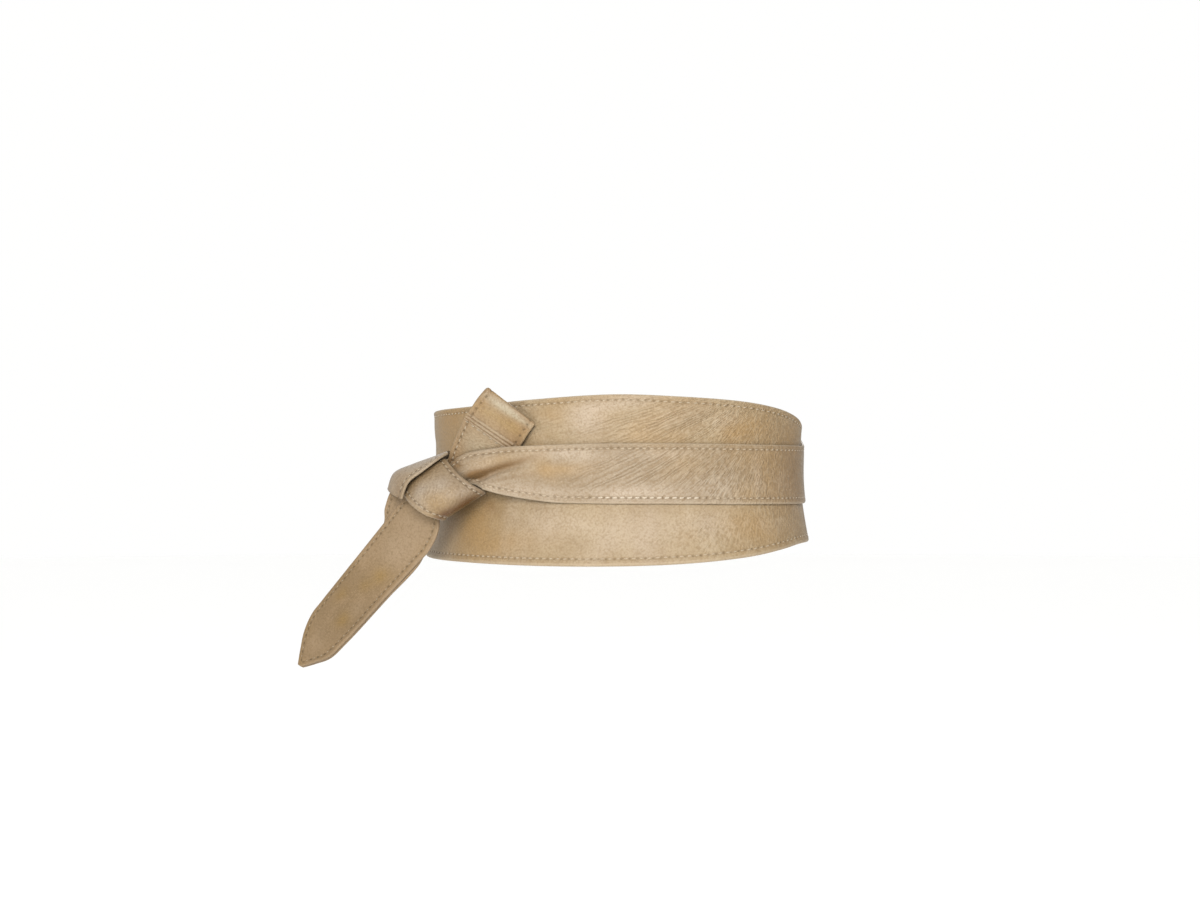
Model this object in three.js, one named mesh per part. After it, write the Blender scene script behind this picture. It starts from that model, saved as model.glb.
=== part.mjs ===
import * as THREE from 'three';

// A wide waist belt of soft leather with two long straps, tied in a half bow on the wearer's right.
// Millimetres and degrees. +Z is up, -Y is the wearer's front, +X the wearer's left.
// The origin is on the axis of the waist, at the middle height of the belt.

// Sizes of the waist that the belt goes round, inside the leather
const waistHalfWidth = 130;
const waistHalfDepth = 99;
const hipFlareStart = -8;
const hipFlareDepth = 36;
const hipFlare = 5.4;
const hipFlareCurve = 1.3;
const ribFlareStart = 24;
const ribFlareSlope = 0.06;

// Sizes of the leather
const panelWall = 2.4;
const strapWall = 1.8;
const strapWidth = 38.5;
const seamGap = 0.3;
const lapWall = 0.8;
const overPanel = panelWall + seamGap;
const underCrossing = 0.1;
const overCrossing = underCrossing + strapWall + seamGap;

// Fineness of the walls
const panelSteps = 100;
const panelRowsUp = 8;
const strapStepDegrees = 3;
const rowsAcrossStrap = 8;
const stepsPerSection = 3;

// Section of the bow where its lapped seam begins, and how many sections it takes
const lapFirstSection = 8;
const lapSections = 2;

// Half the width of a trough pressed into a strap, and its usual place, as shares of the strap's width
const creaseHalfWidth = 0.24;
const creaseMiddle = 0.5;

// The knot's own frame is turned this far from the front towards the wearer's left
const knotFrameTurn = 30;

const leatherColour = 0xc4a57b;
const tailColour = 0xae9370;

// Top and bottom edge of the panel, by the way its face looks: 0 is the front, 90 the wearer's left
const panelEdges = [
  { facing: -152, top: -2, bottom: -40.5 },
  { facing: -135, top: 14, bottom: -43 },
  { facing: -115, top: 29, bottom: -44.5 },
  { facing: -90, top: 39.5, bottom: -47.5 },
  { facing: -60, top: 44.5, bottom: -53 },
  { facing: -43, top: 45.4, bottom: -55.4 },
  { facing: -20, top: 46.5, bottom: -56.4 },
  { facing: 0, top: 49.8, bottom: -57 },
  { facing: 18, top: 52.1, bottom: -56.6 },
  { facing: 35, top: 50.7, bottom: -55 },
  { facing: 59, top: 47.8, bottom: -51 },
  { facing: 78, top: 44.2, bottom: -46.8 },
  { facing: 92, top: 40.8, bottom: -44.2 },
  { facing: 107, top: 36.6, bottom: -43.4 },
  { facing: 118, top: 32.2, bottom: -43 },
  { facing: 135, top: 17, bottom: -42 },
  { facing: 152, top: -2, bottom: -40.5 },
];

// Strap from the panel's right end, round the back and the wearer's left side to the front.
// facing runs on downwards past -180, so -270 is the wearer's left and -360 the front.
const frontStrapRoute = [
  { facing: -152.12, height: -21.2, standOff: 0 },
  { facing: -160, height: -15.5, standOff: underCrossing },
  { facing: -180, height: 0, standOff: underCrossing },
  { facing: -199, height: 15.5, standOff: underCrossing },
  { facing: -205, height: 20.5, standOff: underCrossing },
  { facing: -212, height: 22.5, standOff: overPanel },
  { facing: -225, height: 12, standOff: overPanel },
  { facing: -240, height: 3.2, standOff: overPanel },
  { facing: -253, height: 1.4, standOff: overPanel },
  { facing: -270, height: 1.3, standOff: overPanel },
  { facing: -300, height: 1.4, standOff: overPanel },
  { facing: -325, height: 1.8, standOff: overPanel },
  { facing: -343, height: 1.9, standOff: overPanel + 0.3 },
];

// Strap from the panel's left end, round the back and the wearer's right side
const rightStrapRoute = [
  { facing: 152.12, height: -21.2, standOff: 0 },
  { facing: 154.5, height: -20.2, standOff: 1.6 },
  { facing: 157.5, height: -18, standOff: overCrossing },
  { facing: 180, height: 0, standOff: overPanel },
  { facing: 201, height: 16.5, standOff: overPanel },
  { facing: 210, height: 22, standOff: overPanel },
  { facing: 225, height: 17, standOff: overPanel },
  { facing: 240, height: 9, standOff: overPanel },
  { facing: 255, height: 3, standOff: overPanel },
  { facing: 272, height: -1, standOff: overPanel },
  { facing: 288, height: -5, standOff: overPanel },
  { facing: 300, height: -7.5, standOff: overPanel + 0.5 },
];

// Stretches in the knot's frame. Each row is one section of the strap between its two edges.
// An edge is [across, out, up]: across to the right of the view, out towards it, and up.
// bow moves the middle of the section out of the straight line, the same three ways.
// crease is the depth of a trough along the strap, creaseAt its place from edge A, 0, to edge B, 1.
const frontStrapToKnot = [
  { edgeA: [-35, 100, 20.5], edgeB: [-35, 100, -17], bow: [0, 0, 0], crease: 0, creaseAt: 0.3 },
  { edgeA: [-51, 94.8, 20], edgeB: [-51, 94.8, -15.5], bow: [0, 1, 0], crease: 1, creaseAt: 0.36 },
  { edgeA: [-67.5, 90, 19.5], edgeB: [-67.5, 89.5, -13], bow: [0, 2, 0], crease: 2.5, creaseAt: 0.45 },
  { edgeA: [-82.5, 84.5, 18], edgeB: [-79.5, 85, -10.5], bow: [0, 3, 0], crease: 4.5, creaseAt: 0.6 },
  { edgeA: [-95.5, 78.5, 16], edgeB: [-87.5, 81.3, -8], bow: [0, 4, 0], crease: 4.5, creaseAt: 0.8 },
  { edgeA: [-104.5, 73.5, 11.5], edgeB: [-94.5, 75.9, -6.2], bow: [0, 4, 0], crease: 1.2, creaseAt: 0.9 },
  { edgeA: [-110.5, 67, 7], edgeB: [-101.5, 70, -9.2], bow: [0, 3, 0], crease: 0.8, creaseAt: 0.9 },
];

const rightStrapToKnot = [
  { edgeA: [-127.4, -7.6, 10], edgeB: [-130, -8, -26], bow: [0.5, 0, 0] },
  { edgeA: [-124.5, 12.4, 9], edgeB: [-127, 12, -24.5], bow: [0, 0, 0] },
  { edgeA: [-116.5, 33.5, 8], edgeB: [-118.5, 34, -23], bow: [-0.5, 0.5, 0] },
  { edgeA: [-104, 48.5, 7], edgeB: [-105, 49.5, -21], bow: [-0.5, 0.5, 0] },
];

const knotBandRows = [
  { edgeA: [-114, 60, 9.8], edgeB: [-142, 58.5, -8.5], bow: [-1.8, 2, 1.6] },
  { edgeA: [-111, 70, 12.2], edgeB: [-139, 70.5, -11.5], bow: [-1.8, 3, 1.6] },
  { edgeA: [-103, 79, 4], edgeB: [-132.3, 80.5, -18.6], bow: [0, 4, 1] },
  { edgeA: [-94.7, 83, -3], edgeB: [-123.5, 84, -25], bow: [0, 4, 1] },
  { edgeA: [-87.7, 83.2, -7.5], edgeB: [-115.5, 82, -28], bow: [0, 3, 0] },
  { edgeA: [-83.5, 77, -10.5], edgeB: [-112, 75, -29], bow: [0, 1, 0] },
  { edgeA: [-86, 66, -9.5], edgeB: [-115, 62, -27.5], bow: [0, 0, 0] },
  { edgeA: [-97.5, 55.5, 0.5], edgeB: [-125, 51, -19.5], bow: [0, -1, 0] },
  { edgeA: [-109.5, 51, 11], edgeB: [-136.5, 48, -9], bow: [0, -1, 0] },
];

const knotTurnRows = [
  { edgeA: [-109.2, 73, 16], edgeB: [-106.5, 46, 15.5], bow: [-1.5, 0, 1.2] },
  { edgeA: [-116, 79, 11.2], edgeB: [-113.5, 46, 12], bow: [-3.5, 0, 1.8] },
  { edgeA: [-124.3, 82, 4.1], edgeB: [-123.9, 45.5, 5.3], bow: [-8, 0, 3.8] },
  { edgeA: [-133.5, 81.5, -3.9], edgeB: [-135.8, 45, 0.4], bow: [-10.5, 0, 4.2] },
  { edgeA: [-138.3, 78, -15], edgeB: [-145, 45, -4.5], bow: [-7.8, 0, 1.3] },
];

const bowLoopRows = [
  { edgeA: [-110, 66, 9.5], edgeB: [-92.5, 70, -3], bow: [0, 0, 0] },
  { edgeA: [-107, 73, 18], edgeB: [-76.5, 76, 0.5], bow: [0, 0, 0] },
  { edgeA: [-100.2, 82.3, 31.9], edgeB: [-68.2, 82.7, 8.8], bow: [0, 0, 0] },
  { edgeA: [-94.7, 86.8, 41.4], edgeB: [-61.1, 87.3, 18.8], bow: [0, 0, 0] },
  { edgeA: [-89.5, 88.5, 48.5], edgeB: [-55.5, 91.3, 27.5], bow: [0, 0, 0] },
  { edgeA: [-82.5, 89, 56.5], edgeB: [-51.5, 93.5, 33], bow: [0, 0, 0] },
  { edgeA: [-82, 86.5, 57.5], edgeB: [-51, 91, 33.5], bow: [0, 0, 0] },
  { edgeA: [-83.5, 84, 56.5], edgeB: [-52, 88.5, 32.5], bow: [0, 0, 0] },
  { edgeA: [-90.5, 82, 48], edgeB: [-57.5, 86, 25.5], bow: [0, 0, 0] },
  { edgeA: [-99, 74, 33.5], edgeB: [-67, 79.5, 12], bow: [0, 0, 0] },
  { edgeA: [-106, 66, 18], edgeB: [-77, 71, 0.5], bow: [0, 0, 0] },
  { edgeA: [-109, 60, 9.5], edgeB: [-92, 63.5, -3], bow: [0, 0, 0] },
];

const frontTailRows = [
  { edgeA: [-133.5, 62.6, -6.2], edgeB: [-117, 69, -16], bow: [0, 1, 0] },
  { edgeA: [-141.5, 58, -16], edgeB: [-115, 69, -33], bow: [0, 1, 0] },
  { edgeA: [-149, 55.5, -25.5], edgeB: [-121, 68, -47.5], bow: [0, 1, 0] },
  { edgeA: [-156, 53, -34], edgeB: [-129, 67.5, -56.5], bow: [0, 1, 0] },
  { edgeA: [-176.5, 51.5, -59.5], edgeB: [-149.5, 70, -78.5], bow: [0, 0, 0] },
  { edgeA: [-194, 53, -81.5], edgeB: [-167, 77, -98], bow: [0, 0, 0] },
  { edgeA: [-201, 54, -91], edgeB: [-175, 78, -106.5], bow: [0, 0, 0] },
  { edgeA: [-205.5, 56, -102], edgeB: [-186, 75, -117], bow: [0, 0, 0] },
  { edgeA: [-207.5, 60, -114], edgeB: [-197, 70, -121.5], bow: [0, 0, 0] },
  { edgeA: [-208.5, 63, -123], edgeB: [-206, 65, -124.5], bow: [0, 0, 0] },
];

// The rear tail leaves the knot further out and then lies behind the front one
const rearTailMove = [0.75, -2.1, -0.8];
const rearTailTopRows = [
  { edgeA: [-138, 57, -1], edgeB: [-116, 65, -16], bow: [0, 0, 0] },
  { edgeA: [-148, 51, -8], edgeB: [-120, 64.3, -28], bow: [0, 0, 0] },
  { edgeA: [-153, 49.3, -20.5], edgeB: [-123, 64, -41], bow: [0, 0, 0] },
];
const rowsWhereTailsPart = 3;
const rearTailRows = [
  ...rearTailTopRows,
  ...frontTailRows.slice(rowsWhereTailsPart).map((row) => ({
    edgeA: row.edgeA.map((value, axis) => value + rearTailMove[axis]),
    edgeB: row.edgeB.map((value, axis) => value + rearTailMove[axis]),
    bow: row.bow,
  })),
];

// Smooth value between four neighbouring entries, after Catmull and Rom
function smoothBetween(before, from, to, after, t) {
  const t2 = t * t;
  const t3 = t2 * t;
  return 0.5 * (2 * from + (to - before) * t + (2 * before - 5 * from + 4 * to - after) * t2
    + (3 * from - before - 3 * to + after) * t3);
}

// Value of one column of a table at a place along its key column, with smooth slopes at the rows
function tableValue(rows, key, place, column) {
  const rising = rows[rows.length - 1][key] > rows[0][key];
  let i = 0;
  while (i < rows.length - 2 && (rising ? place > rows[i + 1][key] : place < rows[i + 1][key])) {
    i += 1;
  }
  const slopeAt = (k) => {
    const low = rows[Math.max(k - 1, 0)];
    const high = rows[Math.min(k + 1, rows.length - 1)];
    return (high[column] - low[column]) / (high[key] - low[key]);
  };
  const span = rows[i + 1][key] - rows[i][key];
  const t = THREE.MathUtils.clamp((place - rows[i][key]) / span, 0, 1);
  const fromPart = (1 + 2 * t) * (1 - t) * (1 - t) * rows[i][column];
  const toPart = t * t * (3 - 2 * t) * rows[i + 1][column];
  const slopePart = t * (1 - t) * (1 - t) * slopeAt(i) - t * t * (1 - t) * slopeAt(i + 1);
  return fromPart + toPart + slopePart * span;
}

// How much wider than the waist the belt is at a height, because it sits on hip and ribs
function flareAt(height) {
  const below = Math.max(hipFlareStart - height, 0) / hipFlareDepth;
  return hipFlare * below ** hipFlareCurve + ribFlareSlope * Math.max(height - ribFlareStart, 0);
}

// Point of the oval waist whose surface looks the given way, moved out by standOff
function waistPoint(facing, height, standOff) {
  const angle = THREE.MathUtils.degToRad(facing);
  const lookX = Math.sin(angle);
  const lookY = -Math.cos(angle);
  const reach = Math.hypot(waistHalfWidth * lookX, waistHalfDepth * lookY);
  const out = standOff + flareAt(height);
  return new THREE.Vector3(
    waistHalfWidth ** 2 * lookX / reach + out * lookX,
    waistHalfDepth ** 2 * lookY / reach + out * lookY,
    height,
  );
}

// Grid of outer points of the panel, along the waist and from its top edge to its bottom edge
function panelGrid() {
  const first = panelEdges[0].facing;
  const last = panelEdges[panelEdges.length - 1].facing;
  const grid = [];
  for (let i = 0; i <= panelSteps; i += 1) {
    const facing = first + (last - first) * i / panelSteps;
    const top = tableValue(panelEdges, 'facing', facing, 'top');
    const bottom = tableValue(panelEdges, 'facing', facing, 'bottom');
    const column = [];
    for (let j = 0; j <= panelRowsUp; j += 1) {
      column.push(waistPoint(facing, top + (bottom - top) * j / panelRowsUp, panelWall));
    }
    grid.push(column);
  }
  return grid;
}

// Sections of a strap that lies round the waist, top edge first
function waistSections(route) {
  const first = route[0].facing;
  const last = route[route.length - 1].facing;
  const steps = Math.round(Math.abs(last - first) / strapStepDegrees);
  const sections = [];
  for (let i = 0; i <= steps; i += 1) {
    const facing = first + (last - first) * i / steps;
    const height = tableValue(route, 'facing', facing, 'height');
    const standOff = tableValue(route, 'facing', facing, 'standOff') + strapWall;
    const edgeA = waistPoint(facing, height + strapWidth / 2, standOff);
    const edgeB = waistPoint(facing, height - strapWidth / 2, standOff);
    const straightMiddle = new THREE.Vector3().lerpVectors(edgeA, edgeB, 0.5);
    sections.push({
      edgeA,
      edgeB,
      bow: waistPoint(facing, height, standOff).sub(straightMiddle),
      crease: 0,
      creaseAt: creaseMiddle,
    });
  }
  return sections;
}

// A point or direction of the knot's frame, [across, out, up], as one of the belt's frame
function fromKnotFrame([across, out, up]) {
  return new THREE.Vector3(across, -out, up)
    .applyAxisAngle(new THREE.Vector3(0, 0, 1), THREE.MathUtils.degToRad(knotFrameTurn));
}

function knotSections(rows) {
  return rows.map((row) => ({
    edgeA: fromKnotFrame(row.edgeA),
    edgeB: fromKnotFrame(row.edgeB),
    bow: fromKnotFrame(row.bow),
    crease: row.crease ?? 0,
    creaseAt: row.creaseAt ?? creaseMiddle,
  }));
}

// More sections between the given ones, on smooth curves through them, from one of them onwards
function refineSections(sections, from = 0) {
  const at = (k) => sections[THREE.MathUtils.clamp(k, 0, sections.length - 1)];
  const mixNumber = (read, k, t) => smoothBetween(
    read(at(k - 1)), read(at(k)), read(at(k + 1)), read(at(k + 2)), t,
  );
  const mixVector = (name, k, t) => new THREE.Vector3(
    mixNumber((section) => section[name].x, k, t),
    mixNumber((section) => section[name].y, k, t),
    mixNumber((section) => section[name].z, k, t),
  );
  const result = sections.slice(0, from);
  for (let k = from; k < sections.length - 1; k += 1) {
    for (let step = 0; step < stepsPerSection; step += 1) {
      const t = step / stepsPerSection;
      result.push({
        edgeA: mixVector('edgeA', k, t),
        edgeB: mixVector('edgeB', k, t),
        bow: mixVector('bow', k, t),
        crease: mixNumber((section) => section.crease, k, t),
        creaseAt: mixNumber((section) => section.creaseAt, k, t),
      });
    }
  }
  result.push(sections[sections.length - 1]);
  return result;
}

// Grid of outer points of a strap: a bowed line across each section, with its trough pressed in
function strapGrid(sections, side) {
  const grid = sections.map((section) => {
    const column = [];
    for (let j = 0; j <= rowsAcrossStrap; j += 1) {
      const v = j / rowsAcrossStrap;
      const point = new THREE.Vector3().lerpVectors(section.edgeA, section.edgeB, v);
      column.push(point.addScaledVector(section.bow, 4 * v * (1 - v)));
    }
    return column;
  });
  const normals = gridNormals(grid, side);
  sections.forEach((section, i) => {
    for (let j = 0; j <= rowsAcrossStrap; j += 1) {
      const away = Math.abs(j / rowsAcrossStrap - section.creaseAt) / creaseHalfWidth;
      const trough = section.crease * Math.max(1 - away, 0);
      grid[i][j].addScaledVector(normals[i][j], -trough);
    }
  });
  return grid;
}

// Direction out of the surface at each point of a grid. side is 1 where edge A is on the left
// of someone who walks along the outer face, and -1 where it is on the right.
function gridNormals(grid, side) {
  return grid.map((column, i) => column.map((point, j) => {
    const along = new THREE.Vector3().subVectors(
      grid[Math.min(i + 1, grid.length - 1)][j], grid[Math.max(i - 1, 0)][j],
    );
    const across = new THREE.Vector3().subVectors(
      column[Math.min(j + 1, column.length - 1)], column[Math.max(j - 1, 0)],
    );
    return across.cross(along).setLength(side);
  }));
}

// Closed wall between the grid of outer points and the same points moved in by its thickness
function wallGeometry(grid, thickness, side) {
  const normals = gridNormals(grid, side);
  const columns = grid.length;
  const rows = grid[0].length;
  const positions = [];
  grid.forEach((column) => column.forEach((point) => positions.push(...point)));
  grid.forEach((column, i) => column.forEach((point, j) => {
    positions.push(...point.clone().addScaledVector(normals[i][j], -thickness));
  }));
  const outer = (i, j) => i * rows + j;
  const inner = (i, j) => columns * rows + i * rows + j;
  const triangles = [];
  const quad = (a, b, c, d) => {
    triangles.push(...(side > 0 ? [a, b, c, a, c, d] : [a, c, b, a, d, c]));
  };
  for (let i = 0; i < columns - 1; i += 1) {
    for (let j = 0; j < rows - 1; j += 1) {
      quad(outer(i, j), outer(i, j + 1), outer(i + 1, j + 1), outer(i + 1, j));
      quad(inner(i, j), inner(i + 1, j), inner(i + 1, j + 1), inner(i, j + 1));
    }
    quad(outer(i, 0), outer(i + 1, 0), inner(i + 1, 0), inner(i, 0));
    quad(outer(i, rows - 1), inner(i, rows - 1), inner(i + 1, rows - 1), outer(i + 1, rows - 1));
  }
  for (let j = 0; j < rows - 1; j += 1) {
    quad(outer(0, j), inner(0, j), inner(0, j + 1), outer(0, j + 1));
    quad(outer(columns - 1, j), outer(columns - 1, j + 1), inner(columns - 1, j + 1), inner(columns - 1, j));
  }
  const geometry = new THREE.BufferGeometry();
  geometry.setAttribute('position', new THREE.Float32BufferAttribute(positions, 3));
  geometry.setIndex(triangles);
  geometry.computeVertexNormals();
  return geometry;
}

function leatherMesh(name, geometry, colour) {
  const material = new THREE.MeshStandardMaterial({ color: colour, roughness: 0.5, metalness: 0 });
  const mesh = new THREE.Mesh(geometry, material);
  mesh.name = name;
  return mesh;
}

function strapMesh(name, sections, side, colour) {
  const geometry = wallGeometry(strapGrid(sections, side), strapWall, side);
  return leatherMesh(name, geometry, colour);
}

function knotMesh(name, rows, side, colour) {
  return strapMesh(name, refineSections(knotSections(rows)), side, colour);
}

// A strap that lies round the waist and then goes off it into the knot
function strapToKnot(name, route, rows, side) {
  const round = waistSections(route);
  const sections = refineSections([...round, ...knotSections(rows)], round.length - 1);
  return strapMesh(name, sections, side, leatherColour);
}

// The turned edge of the lapped seam that joins two lengths of strap, on the bow's front face
function lapGeometry() {
  const face = strapGrid(refineSections(knotSections(bowLoopRows)), 1);
  const normals = gridNormals(face, 1);
  const raised = face.map((column, i) => column.map(
    (point, j) => point.clone().addScaledVector(normals[i][j], seamGap + lapWall),
  ));
  const sections = raised.slice(lapFirstSection, lapFirstSection + lapSections);
  return wallGeometry(sections.map((column) => column.slice(0, -1)), lapWall, 1);
}

const belt = new THREE.Group();
belt.add(
  leatherMesh('waist_panel', wallGeometry(panelGrid(), panelWall, 1), leatherColour),
  strapToKnot('strap_over_front', frontStrapRoute, frontStrapToKnot, -1),
  strapToKnot('strap_round_right', rightStrapRoute, rightStrapToKnot, 1),
  knotMesh('knot_band', knotBandRows, 1, leatherColour),
  knotMesh('knot_turn', knotTurnRows, 1, leatherColour),
  knotMesh('bow_loop', bowLoopRows, 1, leatherColour),
  leatherMesh('bow_lap', lapGeometry(), leatherColour),
  knotMesh('tail_front', frontTailRows, -1, tailColour),
  knotMesh('tail_rear', rearTailRows, -1, tailColour),
);

export default belt;
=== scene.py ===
from math import pi, radians

import bpy
import numpy as np
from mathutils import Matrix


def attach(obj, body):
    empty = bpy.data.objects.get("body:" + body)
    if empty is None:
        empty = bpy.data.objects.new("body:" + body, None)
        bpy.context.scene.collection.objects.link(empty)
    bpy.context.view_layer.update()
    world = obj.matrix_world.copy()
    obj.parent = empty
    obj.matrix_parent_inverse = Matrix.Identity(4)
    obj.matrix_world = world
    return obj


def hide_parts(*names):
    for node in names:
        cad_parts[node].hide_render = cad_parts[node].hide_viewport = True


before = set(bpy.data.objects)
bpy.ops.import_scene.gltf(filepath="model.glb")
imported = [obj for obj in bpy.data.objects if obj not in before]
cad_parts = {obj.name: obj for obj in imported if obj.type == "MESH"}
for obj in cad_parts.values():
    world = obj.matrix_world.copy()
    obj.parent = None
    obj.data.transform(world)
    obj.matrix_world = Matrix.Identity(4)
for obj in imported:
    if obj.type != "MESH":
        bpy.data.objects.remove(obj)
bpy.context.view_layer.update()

# Sizes are in millimetres until a mesh is made, and facing angles in degrees: 0 looks to the
# wearer's front, 90 to the wearer's left. +Z is up, -Y the front, +X the wearer's left.
metresPerMm = 0.001

waist = dict(
    halfWidth=130,  # inside the leather
    halfDepth=99,
    hipStart=-8,  # below this height the belt widens over the hips
    hipDepth=36,
    hipFlare=5.4,
    hipCurve=1.3,
    ribStart=24,  # above this height it widens slightly over the ribs
    ribSlope=0.06,
    mmPerDegree=2.0,  # length of the waist for a degree of facing, near enough for laying out folds
)

strap = dict(
    width=38.5,
    wall=1.8,  # two layers
    overPanel=2.7,
    underCrossing=0.1,
    overCrossing=2.2,
    degreesPerRow=3,
    knotTurn=30,  # the knot's rows are measured square to this facing
    creaseHalfWidth=0.24,  # as a share of the width
    creasePower=1.35,
)

# Rows of stitches along both edges: how far in they lie, and what they do to the leather
strapSeam = dict(insetA=3.4, insetB=4.0, pitch=4.7, depth=0.32, grooveWidth=0.85, pucker=0.45,
                 rim=0.12, threadLength=3.3, threadWidth=0.78)
panelSeam = dict(insetA=3.8, insetB=4.8, pitch=4.8, depth=0.34, grooveWidth=0.95, pucker=0.5,
                 rim=0.16, threadLength=3.4, threadWidth=0.8)
tailSeam = dict(strapSeam, depth=0.2, pucker=0.3, pitch=4.6, threadLength=1.9, threadWidth=0.62)
brightSeam = dict(strapSeam, depth=0.2, threadLength=3.9, threadWidth=0.95)
lapSeam = dict(strapSeam, depth=0.1, threadLength=3.7)
rimShape = dict(middle=0.55, width=0.35)  # as shares of the inset

# A stitch's thread: how high it stands, how deep its ends dive, its share of sinking, and its slant
stitchShape = dict(rise=0.38, dive=0.55, sunk=0.55, slant=0.12)

edgeShape = dict(turns=[54, 27, 0, -27, -54], notchWidth=0.3)  # the half circle round a wall's edge
foldFade = 0.3  # share of a fold's length in which it rises and runs out

print("sizes ready")


# Tables and curves

# Smooth column of a table: between two keys the values blend by the cubic Hermite formula, with
# the slope at a key taken from its two neighbours
def tableColumn(table, key, column, places):
    keys = np.asarray(table[key], float)
    values = np.asarray(table[column], float)
    if keys[-1] < keys[0]:
        keys, values = keys[::-1], values[::-1]
    low = np.maximum(np.arange(len(keys)) - 1, 0)
    high = np.minimum(np.arange(len(keys)) + 1, len(keys) - 1)
    slopes = (values[high] - values[low]) / (keys[high] - keys[low])
    i = np.clip(np.searchsorted(keys, places, side="right") - 1, 0, len(keys) - 2)
    span = keys[i + 1] - keys[i]
    t = np.clip((places - keys[i]) / span, 0, 1)
    fromPart = (1 + 2 * t) * (1 - t) ** 2 * values[i]
    toPart = t * t * (3 - 2 * t) * values[i + 1]
    slopePart = t * (1 - t) ** 2 * slopes[i] - t * t * (1 - t) * slopes[i + 1]
    return fromPart + toPart + slopePart * span


# Catmull-Rom curve through the rows of an array, at fractional row numbers t
def splineRows(rows, t):
    i = np.clip(np.floor(t).astype(int), 0, len(rows) - 2)
    f = (t - i)[:, None]
    before, start, end, after = (rows[np.clip(i + k, 0, len(rows) - 1)] for k in (-1, 0, 1, 2))
    return 0.5 * (2 * start + (end - before) * f + (2 * before - 5 * start + 4 * end - after) * f ** 2
                  + (3 * start - before - 3 * end + after) * f ** 3)


# Length along a run of points, from its first one
def runLength(points):
    steps = np.linalg.norm(np.diff(points, axis=0), axis=-1)
    return np.concatenate([[0], np.cumsum(steps)])


# Soft step from 0 at low to 1 at high: t² (3 - 2 t), with t the share of the way
def smoothStep(low, high, x):
    t = np.clip((x - low) / (high - low), 0, 1)
    return t * t * (3 - 2 * t)


# Point of the oval waist whose surface looks the given way: (a² sin, -b² cos) / hypot(a sin, b cos),
# moved out along the look by standOff and by the flare at that height
def waistPoints(facing, height, standOff):
    look = np.radians(facing)
    lookX, lookY = np.sin(look), -np.cos(look)
    a, b = waist["halfWidth"], waist["halfDepth"]
    reach = np.hypot(a * lookX, b * lookY)
    below = np.maximum(waist["hipStart"] - height, 0) / waist["hipDepth"]
    flare = waist["hipFlare"] * below ** waist["hipCurve"]
    flare = flare + waist["ribSlope"] * np.maximum(height - waist["ribStart"], 0)
    out = standOff + flare
    return np.stack(np.broadcast_arrays(
        a * a * lookX / reach + out * lookX, b * b * lookY / reach + out * lookY, height), axis=-1)


# Facing angle of points on or near the waist: the way the oval through each of them looks
def facingOf(points):
    x = points[..., 0] / waist["halfWidth"] ** 2
    y = points[..., 1] / waist["halfDepth"] ** 2
    return np.degrees(np.arctan2(x, -y))


# Rows of a strap. Each holds edge A, edge B, bow (three numbers each), crease depth, crease place.

# Rows along a stretch that lies round the waist, from a route of facing, height and stand-off
def waistRows(route):
    first, last = route["facing"][0], route["facing"][-1]
    facing = np.linspace(first, last, round(abs(last - first) / strap["degreesPerRow"]) + 1)
    height = tableColumn(route, "facing", "height", facing)
    standOff = tableColumn(route, "facing", "standOff", facing) + strap["wall"]
    edgeA = waistPoints(facing, height + strap["width"] / 2, standOff)
    edgeB = waistPoints(facing, height - strap["width"] / 2, standOff)
    bow = waistPoints(facing, height, standOff) - (edgeA + edgeB) / 2
    return np.column_stack([edgeA, edgeB, bow, 0 * facing, 0 * facing + 0.5])


# Rows of a stretch in the knot's frame, [across, out, up], turned into the belt's frame
def knotRows(table):
    turn = radians(strap["knotTurn"])
    axes = np.array([[np.cos(turn), np.sin(turn), 0], [np.sin(turn), -np.cos(turn), 0], [0, 0, 1]])
    edges = [np.asarray(table[name], float) @ axes for name in ("edgeA", "edgeB", "bow")]
    count = len(edges[0])
    crease = table.get("crease", [0] * count)
    creaseAt = table.get("creaseAt", [0.5] * count)
    return np.column_stack([*edges, crease, creaseAt])


# Rows at even steps along the middle of the strap, with their places in mm along it
def evenRows(rows, step):
    fine = np.linspace(0, len(rows) - 1, 30 * len(rows))
    dense = splineRows(rows, fine)
    length = runLength((dense[:, 0:3] + dense[:, 3:6]) / 2 + dense[:, 6:9])
    places = np.linspace(0, length[-1], round(length[-1] / step) + 1)
    return splineRows(rows, np.interp(places, length, fine)), places


# Faces: a grid of points, along the piece and across it from edge A to edge B

# Shares across a width, closer together near both edges where the seams are. Always an odd count.
def sharesAcross(width, seamBand, fineStep, coarseStep):
    fineCount = round(seamBand / fineStep)
    coarseCount = 2 * round((width - 2 * seamBand) / coarseStep / 2)
    edge = np.linspace(0, seamBand, fineCount + 1)
    middle = np.linspace(seamBand, width - seamBand, coarseCount + 1)[1:-1]
    return np.concatenate([edge, middle, (width - edge)[::-1]]) / width


# Direction out of a face: across from edge A to B, crossed with along. side turns it outwards.
def faceNormals(points, side):
    along = np.gradient(points, axis=0)
    across = np.gradient(points, axis=1)
    normals = side * np.cross(across, along)
    return normals / np.linalg.norm(normals, axis=-1, keepdims=True)


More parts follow.
